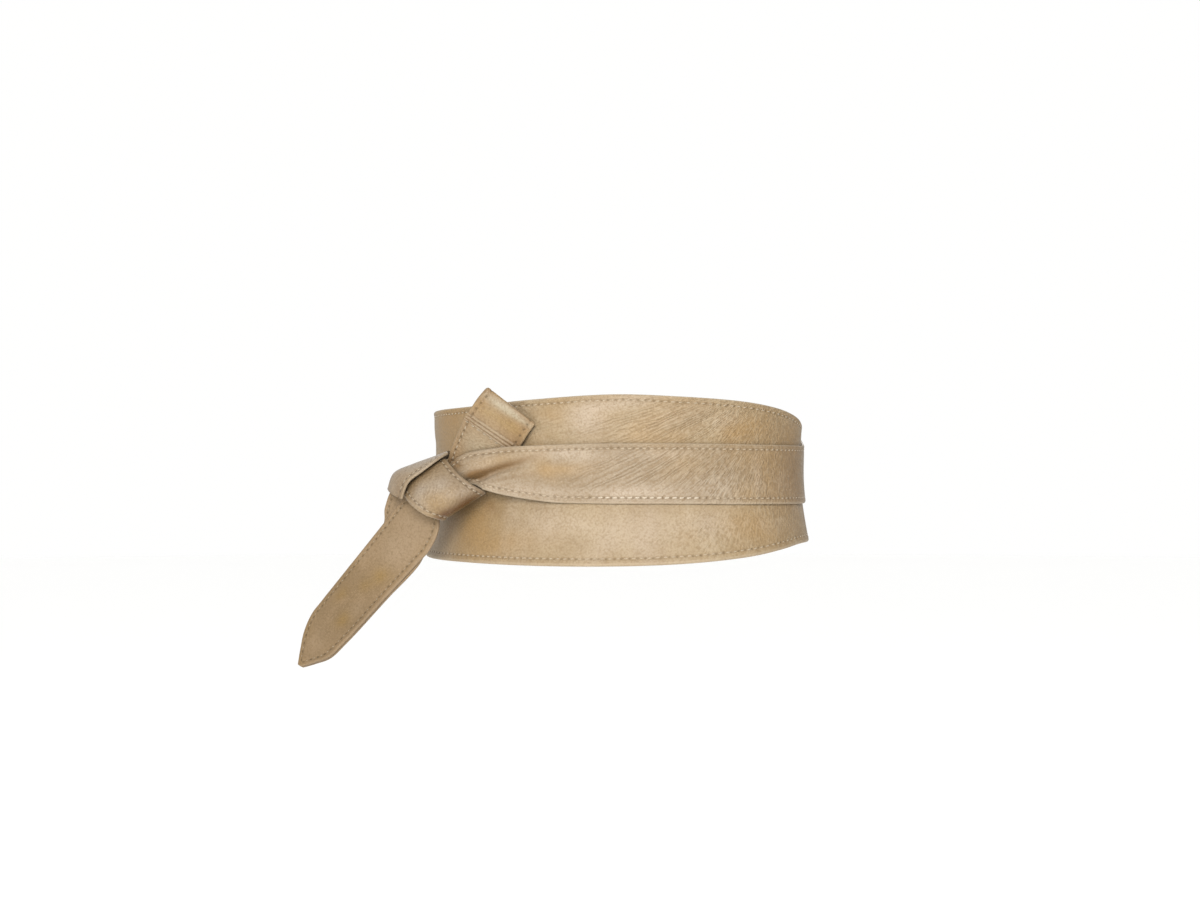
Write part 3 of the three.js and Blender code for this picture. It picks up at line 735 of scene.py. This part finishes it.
panel = dict(
    wall=2.4,
    facing=[-152, -135, -115, -90, -60, -43, -20, 0, 18, 35, 59, 78, 92, 107, 118, 135, 152],
    top=[-2, 14, 29, 39.5, 44.5, 45.4, 46.5, 49.8, 52.1, 50.7, 47.8, 44.2, 40.8, 36.6, 32.2, 17, -2],
    bottom=[-40.5, -43, -44.5, -47.5, -53, -55.4, -56.4, -57, -56.6, -55, -51, -46.8, -44.2, -43.4,
            -43, -42, -40.5],
    step=1.15,
    shares=dict(width=107, seamBand=7, fineStep=0.5, coarseStep=1.55),
    flat=(0.627, 0.108),  # length round the outside and greatest height, in metres
    flatArea=0.0555,
    uneven=dict(height=0.16, wave=46, seed=3),
    underStrap=dict(middle=1, flatFor=20, freeFrom=24),  # no folds where the strap lies on it
    # folds, on (facing x 2 mm, height): x0, y0, x1, y1, bend, width, height
    folds=[
        (24, 25, 58, 41, 2, 1.1, 0.34), (27, 24, 66, 37, 2, 1.0, 0.3), (36, 24, 72, 36, 2, 1.1, -0.26),
        (22, 28, 50, 46, 2, 1.2, 0.3), (46, 24, 80, 35, 2, 1.1, 0.28), (58, 24, 92, 36, 2, 1.2, -0.26),
        (66, 23, 98, 33, 2, 1.1, 0.26), (-9, 47, -5, 42, 0.5, 0.9, 0.34),
        (-5, 47, -1, 41, 0.5, 0.8, -0.3), (-1, 47, 2, 41, 0.5, 0.8, 0.32), (4, 47, 6, 40, 0.5, 0.8, 0.26),
        (-16, -18, -17, -31, 0.4, 0.9, 0.26), (-11, -18, -11.5, -28, 0.3, 0.8, 0.26),
        (-6, -19, -6.5, -31, 0.4, 0.9, 0.24), (-1, -19, -2, -28, 0.3, 0.8, 0.24),
        (4, -19, 3, -30, 0.4, 0.9, 0.22), (44, 27, 74, 45, 2, 2.6, 0.22), (58, 25, 84, 40, 2, 1.8, 0.2),
        (30, 26, 50, 46, 2, 2.4, -0.2), (70, 24, 104, 36, -2, 2.2, 0.2), (84, 25, 122, 38, 2, 2.0, -0.18),
        (104, 24, 140, 34, 2, 2.4, 0.2), (8, 26, 22, 46, 1, 2.4, 0.2), (-2, 25, 8, 45, 1, 2.2, -0.24),
        (-9, 24, -3, 43, 1, 1.8, 0.2), (-8, -26, 6, -50, 3, 6, 0.5), (24, -24, 44, -50, 3, 9, -0.45),
        (66, -24, 60, -48, 3, 8, 0.4), (100, -24, 92, -44, -2, 5, -0.3),
        (-36, -18, -44, -46, -2, 5, 0.45), (-26, -20, -28, -50, 2, 4, -0.4),
        (128, 30, 150, 20, 2, 5, 0.3), (136, -24, 150, -40, 2, 6, 0.35), (-120, 34, -90, 20, 3, 6, 0.4),
        (-180, 30, -150, -30, 4, 9, 0.5), (190, -30, 230, 18, 4, 9, 0.5),
        (-240, 10, -215, -36, 3, 7, 0.5), (240, 8, 262, -34, 3, 7, -0.45),
        (205, 25, 176, -38, 3, 8, -0.4), (-206, 24, -180, -34, 3, 7, -0.4),
    ],
    # paints, as spots on the same places: x, y, reach x, reach y, turn, amount
    # ochre patches, and ochre painted as shade towards both ends and beside the knot
    ochreAndShade=[(-14, -44, 20, 9, 20, 0.6), (-38, -28, 20, 26, 0, 0.9), (118, 30, 20, 10, 10, 0.8),
           (122, -32, 26, 12, -10, 0.7), (-60, 20, 30, 30, 0, 0.75), (56, 34, 18, 6, 30, 0.2),
           (8, 40, 10, 6, 0, 0.35), (170, 0, 34, 40, 0, 0.75), (250, 10, 40, 20, 20, 0.3),
           (-190, -10, 40, 20, 20, 0.3)],
    # pale patches, and a painted highlight on the lower middle
    paleAndHighlight=[(46, -36, 30, 13, 0, 0.25), (24, 36, 10, 9, 60, 0.7), (38, 46, 20, 5, 10, 0.5),
          (60, 36, 30, 8, 20, 0.15), (10, -30, 14, 10, 0, 0.3), (88, -30, 18, 9, 0, 0.35),
          (100, 36, 12, 6, 20, 0.25), (-100, -30, 30, 16, 0, 0.25), (260, -20, 30, 14, 0, 0.25)],
    # painted shade below the bow and the knot, and towards the right end
    dark=[(-18, 30, 5, 10, 0, 0.25), (184, 0, 24, 60, 0, 0.16), (140, 0, 34, 60, 0, 0.06),
          (-25, -19, 8, 4, -35, 0.45), (-60, -30, 8, 22, 0, 0.2)],
    pebbled=[(100, 34, 50, 20, 0, 0.8), (150, 10, 50, 60, 0, 0.9), (190, 0, 40, 60, 0, 0.7),
             (96, -38, 30, 14, 0, 0.5)],
    wrinkled=[(60, 34, 44, 16, 10, 0.9), (116, 26, 34, 16, 0, 0.3),
              (80, -36, 34, 12, 0, 0.3), (0, 34, 14, 10, 0, 0.3), (240, 0, 60, 40, 0, 0.4),
              (-200, 0, 60, 40, 0, 0.35)],
)


# The panel's outer face: on the oval, from its top edge line to its bottom one
def panelFace():
    fine = np.linspace(panel["facing"][0], panel["facing"][-1], 1200)
    length = runLength(waistPoints(fine, 0, panel["wall"]))
    places = np.linspace(0, length[-1], round(length[-1] / panel["step"]) + 1)
    facing = np.interp(places, length, fine)[:, None]
    top = tableColumn(panel, "facing", "top", facing) - panel["wall"] / 2
    bottom = tableColumn(panel, "facing", "bottom", facing) + panel["wall"] / 2
    shares = sharesAcross(**panel["shares"])[None, :]
    points = waistPoints(facing, top + (bottom - top) * shares, panel["wall"])
    return makeFace(points, 1, places, panel["wall"])


# The paints: ochre patches and ochre painted as shade, pale patches and painted highlights, painted shade,
# and the masks for wrinkles and pebbles
paintNames = ("ochreAndShade", "paleAndHighlight", "dark", "wrinkled", "pebbled")


# Each paint at the points (x, y): the sum of its spots, held between 0 and 1
def paintsFor(table, x, y):
    return {name: np.clip(spots(x, y, table.get(name, ())), 0, 1) for name in paintNames}


# Coordinates of points round the waist for laying out folds: facing x 2 mm, and height
def waistPlace(points):
    return facingOf(points) * waist["mmPerDegree"], points[..., 2]


# The leather of a piece: its face made a closed shell, painted, and set on the belt's one body. On
# the knot its table says how far the wrinkles are turned, and else they fan round the waist.
def dressPiece(name, face, table, seam, folds, wall, material, notch=0.12):
    rings = wallRings(face, seam, folds, wall, notch)
    if "wrinkleTurn" in table:
        x, y = rings["along"], rings["spread"](face["across"], 0)
        drawn = turnedLines(x, y, table["wrinkleTurn"])
    else:
        x, y = waistPlace(rings["points"])
        drawn = waistFan(x, y)
    mesh = shellMesh(name, rings, face["side"], paintsFor(table, x, y), drawn)
    thing = addObject(name, mesh, material)
    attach(thing, "root")
    print(name, len(mesh.polygons), "faces")
    return thing


# Stitches on both faces along both edges of a piece
def seamStitches(face, seam, folds, wall, spans=None):
    return [stitchesOn(seamPath(face, seam, folds, wall, edge, inside), seam, spans)
            for edge in ("A", "B") for inside in (False, True)]


# Relief of the panel: folds and unevenness, fading to none under the strap
def panelRelief(face):
    x, y = waistPlace(face["points"])
    folds = foldRelief(x, y, panel["folds"]) + unevenness(x, y, **panel["uneven"])
    under = panel["underStrap"]
    return folds * smoothStep(under["flatFor"], under["freeFrom"], np.abs(y - under["middle"]))


# The panel's leather, with its folds, and the thread of both its rows
def waistPanel():
    face = panelFace()
    folds = panelRelief(face)
    piece = dressPiece("panelLeather", face, panel, panelSeam, folds, panel["wall"], bodyLeather)
    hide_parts("waist_panel")
    threadObject("panelThread", seamStitches(face, panelSeam, folds, panel["wall"]), bodyThread)


waistPanel()


# Straps round the waist

overFront = dict(
    brightThread=(27, 80),  # on edge B the row shows heavier and paler between these places
    facing=[-152.12, -160, -180, -199, -205, -212, -225, -240, -253, -270, -300, -325, -343],
    height=[-21.2, -15.5, 0, 15.5, 20.5, 22.5, 12, 3.2, 1.4, 1.3, 1.4, 1.8, 1.9],
    standOff=[0] + [strap["underCrossing"]] * 4 + [strap["overPanel"]] * 7 + [strap["overPanel"] + 0.3],
    knot=dict(
        edgeA=[(-35, 100, 20.5), (-51, 94.8, 20), (-67.5, 90, 19.5), (-82.5, 84.5, 18), (-95.5, 78.5, 16),
               (-104.5, 73.5, 11.5), (-110.5, 67, 7)],
        edgeB=[(-35, 100, -17), (-51, 94.8, -15.5), (-67.5, 89.5, -13), (-79.5, 85, -10.5),
               (-87.5, 81.3, -8), (-94.5, 75.9, -6.2), (-101.5, 70, -9.2)],
        bow=[(0, 0, 0), (0, 1, 0), (0, 2, 0), (0, 3, 0), (0, 4, 0), (0, 4, 0), (0, 3, 0)],
        crease=[0, 1, 2.5, 4.5, 4.5, 1.2, 0.8],
        creaseAt=[0.3, 0.36, 0.45, 0.6, 0.8, 0.9, 0.9],
    ),
    folds=[
        (19, 0.5, 40, 16, 1, 1.1, 0.4), (23, -2, 51, 16, 1.2, 1.0, -0.35),
        (26, -3.5, 55, 12, 1.2, 1.1, 0.42), (30, 4, 58, 19, 1, 1.1, 0.38),
        (35, -5, 58, 5.5, 1, 1.1, 0.36), (40, -7.5, 62, 0.5, 0.8, 1.1, 0.34),
        (46, -5, 76, 11, 1.5, 1.2, 0.3), (32, 0, 60, 14.5, 1.4, 0.9, -0.3),
        (44, -11, 66, -8, -0.8, 1.0, 0.3), (36, -12.5, 60, -12, -0.6, 0.9, -0.22),
        (56, -7, 82, 9, 1, 1.2, 0.26), (4, 14, 24, 13, 0.6, 1.2, 0.24),
        (-4, 4.6, 26, 3.6, -5.2, 1.1, -0.42), (-2, 2.4, 27, 1.6, -5.2, 1.4, 0.3),
        (14, -1.5, 41, 14, -1.6, 1.1, 0.4), (-27, -7, 1, 8.8, 2.4, 1.7, -1.1),
        (-28, 5, -3, 14, 1.6, 3.6, 0.8), (-20, -2, 2, 5.4, 1.6, 1.2, 0.4),
        (-24, -5, -9, -0.4, 0.6, 0.7, 0.42), (-24, -6.6, -9, -3.6, 0.4, 0.7, 0.36),
        (-18, -3, -4, 1.4, 0.4, 0.7, -0.25), (-33, 12, -27, 7, 0.4, 0.8, -0.4),
        (-31, 13, -25, 8.5, 0.4, 0.8, 0.4), (-30, 9, -24, 5, 0.3, 0.7, -0.35),
        (86, 14, 110, -10, 2, 3, 0.22), (112, 16, 128, -12, 2, 3, -0.22), (132, 14, 146, -14, 2, 3, 0.25),
        (128, 17, 124, -16, 3.5, 2.2, 0.25), (210, 17, 230, -17, 3, 9, -0.8),
        (-250, 40, -225, 8, 3, 4, 0.35), (-286, 40, -262, 6, 3, 4, -0.35), (300, 20, 330, -12, 3, 4, 0.35),
    ],
    # ochre patches, and ochre painted as shade on the crease's upper side by the knot and towards the
    # right end
    ochreAndShade=[(13, 4.5, 14, 4.5, 6, 0.85), (-12, 10, 10, 5, 25, 0.6), (118, 12, 22, 8, 0, 0.45),
           (116, -10, 12, 7, 0, 0.55), (136, 0, 24, 24, 0, 0.5), (180, 0, 34, 24, 0, 0.95),
           (148, 0, 14, 16, 0, 0.5), (76, 6, 14, 7, 20, 0.3)],
    # pale patches, and painted highlights on the strap's lower half and near its right end
    paleAndHighlight=[(48, -11, 20, 4.5, 0, 0.65), (16, 15, 14, 4, -5, 0.6), (92, -8, 20, 8, 0, 0.3),
          (127, 0, 4, 14, 5, 0.3), (4, -10, 24, 4, -5, 0.4), (60, 14, 16, 4, 0, 0.25)],
    # painted shade along the crease and in the pocket where the strap enters the knot, and towards the
    # right end
    dark=[(-12, 6, 14, 2, 26, 0.95), (-21, 0.5, 4, 2.8, 40, 0.9), (-27, 7, 3, 3, 0, 0.5),
          (-8, -1, 9, 1, 14, 0.4), (-30, 9, 3, 5, 0, 0.6), (184, 0, 24, 30, 0, 0.5),
          (150, 0, 26, 30, 0, 0.2)],
    pebbled=[(92, 0, 30, 24, 0, 0.7), (140, 0, 44, 26, 0, 1.0), (190, 0, 30, 26, 0, 0.8)],
    wrinkled=[(44, 4, 30, 13, 20, 1.0), (88, 0, 34, 22, 0, 0.6), (136, 0, 26, 22, 0, 0.3),
              (-28, 10, 12, 8, 0, 0.5), (230, 0, 60, 22, 0, 0.35), (-230, 0, 60, 22, 0, 0.35)],
)

roundRight = dict(
    facing=[152.12, 154.5, 157.5, 180, 201, 210, 225, 240, 255, 272, 288, 300],
    height=[-21.2, -20.2, -18, 0, 16.5, 22, 17, 9, 3, -1, -5, -7.5],
    standOff=[0, 1.6, strap["overCrossing"]] + [strap["overPanel"]] * 8 + [strap["overPanel"] + 0.5],
    knot=dict(
        edgeA=[(-127.4, -7.6, 10), (-124.5, 12.4, 9), (-116.5, 33.5, 8), (-104, 48.5, 7)],
        edgeB=[(-130, -8, -26), (-127, 12, -24.5), (-118.5, 34, -23), (-105, 49.5, -21)],
        bow=[(0.5, 0, 0), (0, 0, 0), (-0.5, 0.5, 0), (-0.5, 0.5, 0)],
    ),
    folds=[
        (-250, 40, -226, 8, 3, 4, 0.35), (-222, 30, -190, 2, 2, 4, -0.3), (-176, 14, -140, -6, 2, 3, 0.3),
        (-150, 6, -112, -14, 2, 2.4, -0.3), (-136, 10, -104, -4, 1, 2, 0.3), (330, 4, 300, -22, 3, 4, 0.3),
    ],
    ochreAndShade=[(-190, 8, 30, 12, 20, 0.4), (320, -5, 30, 12, 20, 0.3)],
    paleAndHighlight=[(-150, 2, 20, 8, 0, 0.3), (-240, 20, 20, 8, 0, 0.3)],
    # painted shade where the strap reaches the knot
    dark=[(-100, 4, 10, 12, 0, 0.3)],
    wrinkled=[(-140, -4, 40, 16, 0, 0.6), (-230, 20, 50, 20, 0, 0.4), (320, 0, 40, 20, 0, 0.4)],
)

strapShares = sharesAcross(strap["width"], seamBand=6.2, fineStep=0.47, coarseStep=1.05)
lapShares = sharesAcross(strap["width"], seamBand=4, fineStep=1.0, coarseStep=1.2)
strapStep = 0.85
strapUneven = dict(height=0.05, wave=18, seed=5)


# A strap from the panel's end round the waist to the knot: its rows made a face, and its leather
def waistStrap(name, table, side, node):
    rows, places = evenRows(np.concatenate([waistRows(table), knotRows(table["knot"])]), strapStep)
    face = strapFace(rows, places, side, strapShares, strap["wall"])
    x, y = waistPlace(face["points"])
    folds = foldRelief(x, y, table["folds"]) + unevenness(x, y, **strapUneven)
    piece = dressPiece(name + "Leather", face, table, strapSeam, folds, strap["wall"], strapLeather)
    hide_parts(node)
    places[-1] * metresPerMm
    threadObject(name + "Thread", seamStitches(face, strapSeam, folds, strap["wall"]), bodyThread)
    if "brightThread" in table:
        low, high = table["brightThread"]
        worn = face["along"][(x > low) & (x < high)]
        path = seamPath(face, strapSeam, folds, strap["wall"], "B", False)
        stitches = stitchesOn(path, brightSeam, [(worn.min(), worn.max())])
        threadObject(name + "BrightThread", [stitches], brightThread)


waistStrap("strapOverFront", overFront, -1, "strap_over_front")
waistStrap("strapRoundRight", roundRight, 1, "strap_round_right")


# Knot and bow: folds and spots are laid out on (mm along, mm across from edge A)

knotUneven = dict(height=0.05, wave=16, seed=9)

knotBand = dict(
    edgeA=[(-114, 60, 9.8), (-111, 70, 12.2), (-103, 79, 4), (-94.7, 83, -3), (-87.7, 83.2, -7.5),
           (-83.5, 77, -10.5), (-86, 66, -9.5), (-97.5, 55.5, 0.5), (-109.5, 51, 11)],
    edgeB=[(-142, 58.5, -8.5), (-139, 70.5, -11.5), (-132.3, 80.5, -18.6), (-123.5, 84, -25),
           (-115.5, 82, -28), (-112, 75, -29), (-115, 62, -27.5), (-125, 51, -19.5), (-136.5, 48, -9)],
    bow=[(-1.8, 2, 1.6), (-1.8, 3, 1.6), (0, 4, 1), (0, 4, 1), (0, 3, 0), (0, 1, 0), (0, 0, 0), (0, -1, 0),
         (0, -1, 0)],
    folds=[(12, 10, 34, 13, 1, 2.4, 0.25), (10, 22, 36, 24, -1, 3, 0.25), (16, 30, 34, 31, 1, 2, -0.2),
           (38, 8, 42, 32, 1, 3, 0.2)],
    ochreAndShade=[(40, 20, 7, 16, 0, 0.6), (12, 14, 6, 12, 0, 0.5)],
    # painted highlights on the band's face
    paleAndHighlight=[(25, 26, 6, 8, 0, 0.7), (31.5, 14, 6, 7, 0, 0.6), (34, 33, 7, 4, 0, 0.4)],
    # painted shade at the band's lower right turn and at its upper left by the turn piece
    dark=[(55, 16, 6, 14, 0, 1.0), (50, 30, 4, 8, 0, 0.8), (15, 14, 3.4, 12, 0, 0.3)],
    wrinkled=[(24, 20, 20, 16, 0, 0.25)],
    wrinkleTurn=55,
)

knotTurn = dict(
    edgeA=[(-109.2, 73, 16), (-116, 79, 11.2), (-124.3, 82, 4.1), (-133.5, 81.5, -3.9), (-138.3, 78, -15)],
    edgeB=[(-106.5, 46, 15.5), (-113.5, 46, 12), (-123.9, 45.5, 5.3), (-135.8, 45, 0.4), (-145, 45, -4.5)],
    bow=[(-1.5, 0, 1.2), (-3.5, 0, 1.8), (-8, 0, 3.8), (-10.5, 0, 4.2), (-7.8, 0, 1.3)],
    folds=[(6, 12, 34, 14, 1, 2.6, 0.2)],
    ochreAndShade=[(16, 14, 14, 7, 0, 0.5), (34, 12, 10, 8, 0, 0.4)],
    # painted light: pale over the turn's face to brighten it
    paleAndHighlight=[(18, 14, 24, 16, 0, 0.9)],
    wrinkled=[(20, 16, 16, 10, 0, 0.2)],
    wrinkleTurn=20,
)

bowLoop = dict(
    edgeA=[(-110, 66, 9.5), (-107, 73, 18), (-100.2, 82.3, 31.9), (-94.7, 86.8, 41.4), (-89.5, 88.5, 48.5),
           (-82.5, 89, 56.5), (-82, 86.5, 57.5), (-83.5, 84, 56.5), (-90.5, 82, 48), (-99, 74, 33.5),
           (-106, 66, 18), (-109, 60, 9.5)],
    edgeB=[(-92.5, 70, -3), (-76.5, 76, 0.5), (-68.2, 82.7, 8.8), (-61.1, 87.3, 18.8), (-55.5, 91.3, 27.5),
           (-51.5, 93.5, 33), (-51, 91, 33.5), (-52, 88.5, 32.5), (-57.5, 86, 25.5), (-67, 79.5, 12),
           (-77, 71, 0.5), (-92, 63.5, -3)],
    bow=[(0, 0, 0)] * 12,
    folds=[(12, 8, 30, 30, 1, 2.2, 0.16), (16, 14, 30, 18, 1, 1.6, 0.14), (56, 8, 58, 32, 0.5, 2.4, 0.2),
           (46, 12, 52, 30, 0.5, 2.4, -0.15)],
    ochreAndShade=[(49.5, 12, 5, 14, 0, 0.9), (49, 29, 4.5, 9, 0, 0.8), (61, 8, 3, 6, 0, 0.4)],
    # a painted highlight along the fold, and pale below the lap
    paleAndHighlight=[(57, 21, 2.6, 20, 0, 1.0), (24, 20, 10, 20, 0, 0.45)],
    # painted shade where the loop leaves the knot
    dark=[(3, 20, 7, 30, 0, 0.5)],
    wrinkled=[(26, 20, 14, 16, 0, 0.2)],
    wrinkleTurn=90,
    stitchSpans=[(2, 33), (84, 150)],  # no thread near the bow's fold, only holes
    # the lapped seam: from row to row of this table, its wall, how far off the face, and its ridges
    lap=dict(start=2.52, end=3.0, steps=18, wall=0.45, lift=0.08, ridge=0.26, ridgeCount=2.5),
    lapStitchesAt=[2.46],
)

tailFront = dict(
    edgeA=[(-133.5, 62.6, -6.2), (-141.5, 58, -16), (-149, 55.5, -25.5), (-156, 53, -34),
           (-176.5, 51.5, -59.5), (-194, 53, -81.5), (-201, 54, -91), (-205.5, 56, -102),
           (-207.5, 60, -114), (-208.5, 63, -123)],
    edgeB=[(-117, 69, -16), (-115, 69, -33), (-121, 68, -47.5), (-129, 67.5, -56.5), (-149.5, 70, -78.5),
           (-167, 77, -98), (-175, 78, -106.5), (-186, 75, -117), (-197, 70, -121.5), (-206, 65, -124.5)],
    bow=[(0, 1, 0)] * 4 + [(0, 0, 0)] * 6,
    folds=[(4, 12, 34, 22, 2, 3, 0.3), (60, 6, 80, 30, 2, 6, 0.3), (96, 30, 120, 10, 2, 6, -0.3)],
    ochreAndShade=[(62, 24, 7, 6, 0, 0.9), (74, 20, 5, 5, 0, 0.5), (100, 26, 6, 5, 0, 0.8),
           (88, 10, 6, 4, 0, 0.5)],
    paleAndHighlight=[(22, 18, 24, 22, 0, 0.8), (46, 22, 12, 10, 0, 0.5), (90, 28, 8, 5, 0, 0.4),
          (122, 16, 10, 8, 0, 0.4)],
    # painted shade where the tail leaves the knot, shared by the rear tail
    dark=[(4, 20, 8, 30, 0, 0.4)],
    wrinkled=[(60, 20, 40, 20, 0, 0.08)],
    wrinkleTurn=10,
)

# The rear tail leaves the knot further out, then follows the front one at this distance behind it
rearTailMove = np.array([0.75, -2.1, -0.8])


def behindFrontTail(edge):
    return list(np.array(tailFront[edge][3:]) + rearTailMove)


tailRear = dict(
    tailFront,
    edgeA=[(-138, 57, -1), (-148, 51, -8), (-153, 49.3, -20.5)] + behindFrontTail("edgeA"),
    edgeB=[(-116, 65, -16), (-120, 64.3, -28), (-123, 64, -41)] + behindFrontTail("edgeB"),
    bow=[(0, 0, 0)] * 3 + tailFront["bow"][3:],
)


# Stitches in a row across a piece, at a fractional row of its table
def stitchesAcross(table, at):
    rows = splineRows(knotRows(table), at + np.array([-0.05, 0, 0.05]))
    face = strapFace(rows, np.array([0, 0.6, 1.2]), 1, lapShares, strap["wall"])
    across, width = face["across"][1], face["width"][1]
    keep = (across > lapSeam["insetA"] * 0.5) & (across < width - lapSeam["insetB"] * 0.5)
    path = dict(points=face["points"][1], normals=face["normals"][1], along=across, keep=keep)
    return stitchesOn(path, lapSeam)


# A stretch of strap in the knot: its rows made a face, its leather, and its thread. The flat size
# is the length along its middle by its widest width, the area the sum of width by step.
def knotPiece(name, table, side, node, seam, leather, thread, step=0.7, spans=None, sewnOn=()):
    rows, places = evenRows(knotRows(table), step)
    face = strapFace(rows, places, side, strapShares, strap["wall"])
    folds = foldRelief(face["along"], face["across"], table["folds"])
    folds += unevenness(face["along"], face["across"], **knotUneven)
    piece = dressPiece(name + "Leather", face, table, seam, folds, strap["wall"], leather)
    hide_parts(node)
    width = face["width"][:, 0]
    flatArea = np.sum(np.diff(places) * (width[1:] + width[:-1]) / 2) * metresPerMm ** 2
    flat = (places[-1] * metresPerMm, width.max() * metresPerMm)
    stitches = seamStitches(face, seam, folds, strap["wall"], spans)
    stitches += [stitchesAcross(table, at) for at in table.get("lapStitchesAt", ())]
    threadObject(name + "Thread", stitches, thread)


# The lapped seam across the bow's front face: a thin turned strip, lifted off the face, with ridges
# of height ridge cos(2 pi ridgeCount share) along it and painted shade as dark lines in the troughs
def bowLap():
    lap = bowLoop["lap"]
    rows = splineRows(knotRows(bowLoop), np.linspace(lap["start"], lap["end"], lap["steps"] + 1))
    places = runLength((rows[:, 0:3] + rows[:, 3:6]) / 2)
    shares = sharesAcross(strap["width"] - 2, seamBand=4, fineStep=1.0, coarseStep=1.2)
    face = strapFace(rows, places, 1, shares, lap["wall"])
    lifted = face["points"] + face["normals"] * (lap["wall"] + lap["lift"])
    face = makeFace(lifted, 1, places, lap["wall"])
    length = places[-1]
    ridges = lap["ridge"] * np.cos(2 * pi * lap["ridgeCount"] * places / length)
    ridges = ridges[:, None] + 0 * face["across"]
    plain = dict(strapSeam, depth=0, rim=0)
    # painted shade in the two troughs between the ridges
    dark = [(trough * length / 5, 18, 0.45, 60, 0, 0.6) for trough in (1, 3)]
    table = dict(paleAndHighlight=[(2, 18, 6, 30, 0, 0.3)], dark=dark, wrinkleTurn=0)
    piece = dressPiece("bowLapLeather", face, table, plain, ridges, lap["wall"], loopLeather,
                       notch=0)
    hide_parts("bow_lap")
    return piece


knotPiece("knotBand", knotBand, 1, "knot_band", strapSeam, knotLeather, knotThread)
knotPiece("knotTurn", knotTurn, 1, "knot_turn", strapSeam, knotLeather, knotThread,
          step=0.6)
knotPiece("bowLoop", bowLoop, 1, "bow_loop", strapSeam, loopLeather, knotThread,
          spans=bowLoop["stitchSpans"], sewnOn=[bowLap()])
for name, table, node in (("tailFront", tailFront, "tail_front"), ("tailRear", tailRear, "tail_rear")):
    knotPiece(name, table, -1, node, tailSeam, tailLeather, tailThread, step=0.8)


# Stage, lights and camera

stage = dict(
    floorHeight=-420, floorRadius=9000, floorColour=(0.99, 0.99, 0.985),
    worldColour=(1.0, 1.0, 0.995), worldStrength=1.0,
)

# Lights by the facing they stand at, their rise, distance and size, in degrees and mm
lights = dict(
    keySoftbox=dict(facing=24, rise=14, distance=1700, size=800, watts=44, colour=(1.0, 0.98, 0.95)),
    fillSoftbox=dict(facing=-30, rise=-5, distance=2000, size=1300, watts=5, colour=(1.0, 0.94, 0.85)),
    backSoftbox=dict(facing=205, rise=40, distance=1900, size=1100, watts=22, colour=(1.0, 0.99, 0.97)),
)

cameraView = dict(
    facing=30, distance=1300,
    focalShare=1885 / 1200,  # focal length over the picture's width
    originAt=(615, 476.5), picture=(1200, 900),  # where the belt's origin falls in the picture
)


# Place at a facing, a rise and a distance from the belt's origin, in metres
def onSphere(facing, rise, distance):
    look, up = radians(facing), radians(rise)
    flat = distance * np.cos(up) * metresPerMm
    return (flat * np.sin(look), -flat * np.cos(look), distance * np.sin(up) * metresPerMm)


# A round floor well below the belt: a flat disc of many corners
def addFloor():
    turn = np.linspace(0, 2 * pi, 96, endpoint=False)
    rim = np.stack([np.cos(turn), np.sin(turn), 0 * turn], axis=-1) * stage["floorRadius"]
    rim[:, 2] = stage["floorHeight"]
    mesh = bpy.data.meshes.new("studioFloor")
    mesh.from_pydata((rim * metresPerMm).tolist(), [], [list(range(len(turn)))])
    maker = MaterialMaker("floorPaint")
    floor = addObject("studioFloor", mesh, maker.finish(
        {"Base Color": (*stage["floorColour"], 1), "Roughness": 0.8}))


# A round softbox that faces the belt's origin
def addLight(name, light):
    data = bpy.data.lights.new(name, "AREA")
    data.shape = "DISK"
    data.size = light["size"] * metresPerMm
    data.energy = light["watts"]
    data.color = light["colour"]
    lamp = bpy.data.objects.new(name, data)
    lamp.location = onSphere(light["facing"], light["rise"], light["distance"])
    lamp.rotation_euler = (-lamp.location).to_track_quat("-Z", "Y").to_euler()
    bpy.context.scene.collection.objects.link(lamp)


# The camera at the belt's height, its lens from the focal share, shifted so that the origin falls
# where it does in the picture
def addCamera():
    data = bpy.data.cameras.new("photoCamera")
    data.sensor_width = 36
    data.lens = data.sensor_width * cameraView["focalShare"]
    width, height = cameraView["picture"]
    data.shift_x = (width / 2 - cameraView["originAt"][0]) / width
    data.shift_y = (cameraView["originAt"][1] - height / 2) / width
    data.clip_start = 0.01
    data.clip_end = 100
    camera = bpy.data.objects.new("photoCamera", data)
    camera.location = onSphere(cameraView["facing"], 0, cameraView["distance"])
    camera.rotation_euler = (radians(90), 0, radians(cameraView["facing"]))
    bpy.context.scene.collection.objects.link(camera)
    bpy.context.scene.camera = camera


# An even white surround
def addWorld():
    world = bpy.data.worlds.new("studioWorld")
    world.use_nodes = True
    background = world.node_tree.nodes["Background"]
    background.inputs["Color"].default_value = (*stage["worldColour"], 1)
    background.inputs["Strength"].default_value = stage["worldStrength"]
    bpy.context.scene.world = world


addFloor()
for name, light in lights.items():
    addLight(name, light)
addCamera()
addWorld()
bpy.context.scene.view_settings.view_transform = "Standard"
print("stage ready")
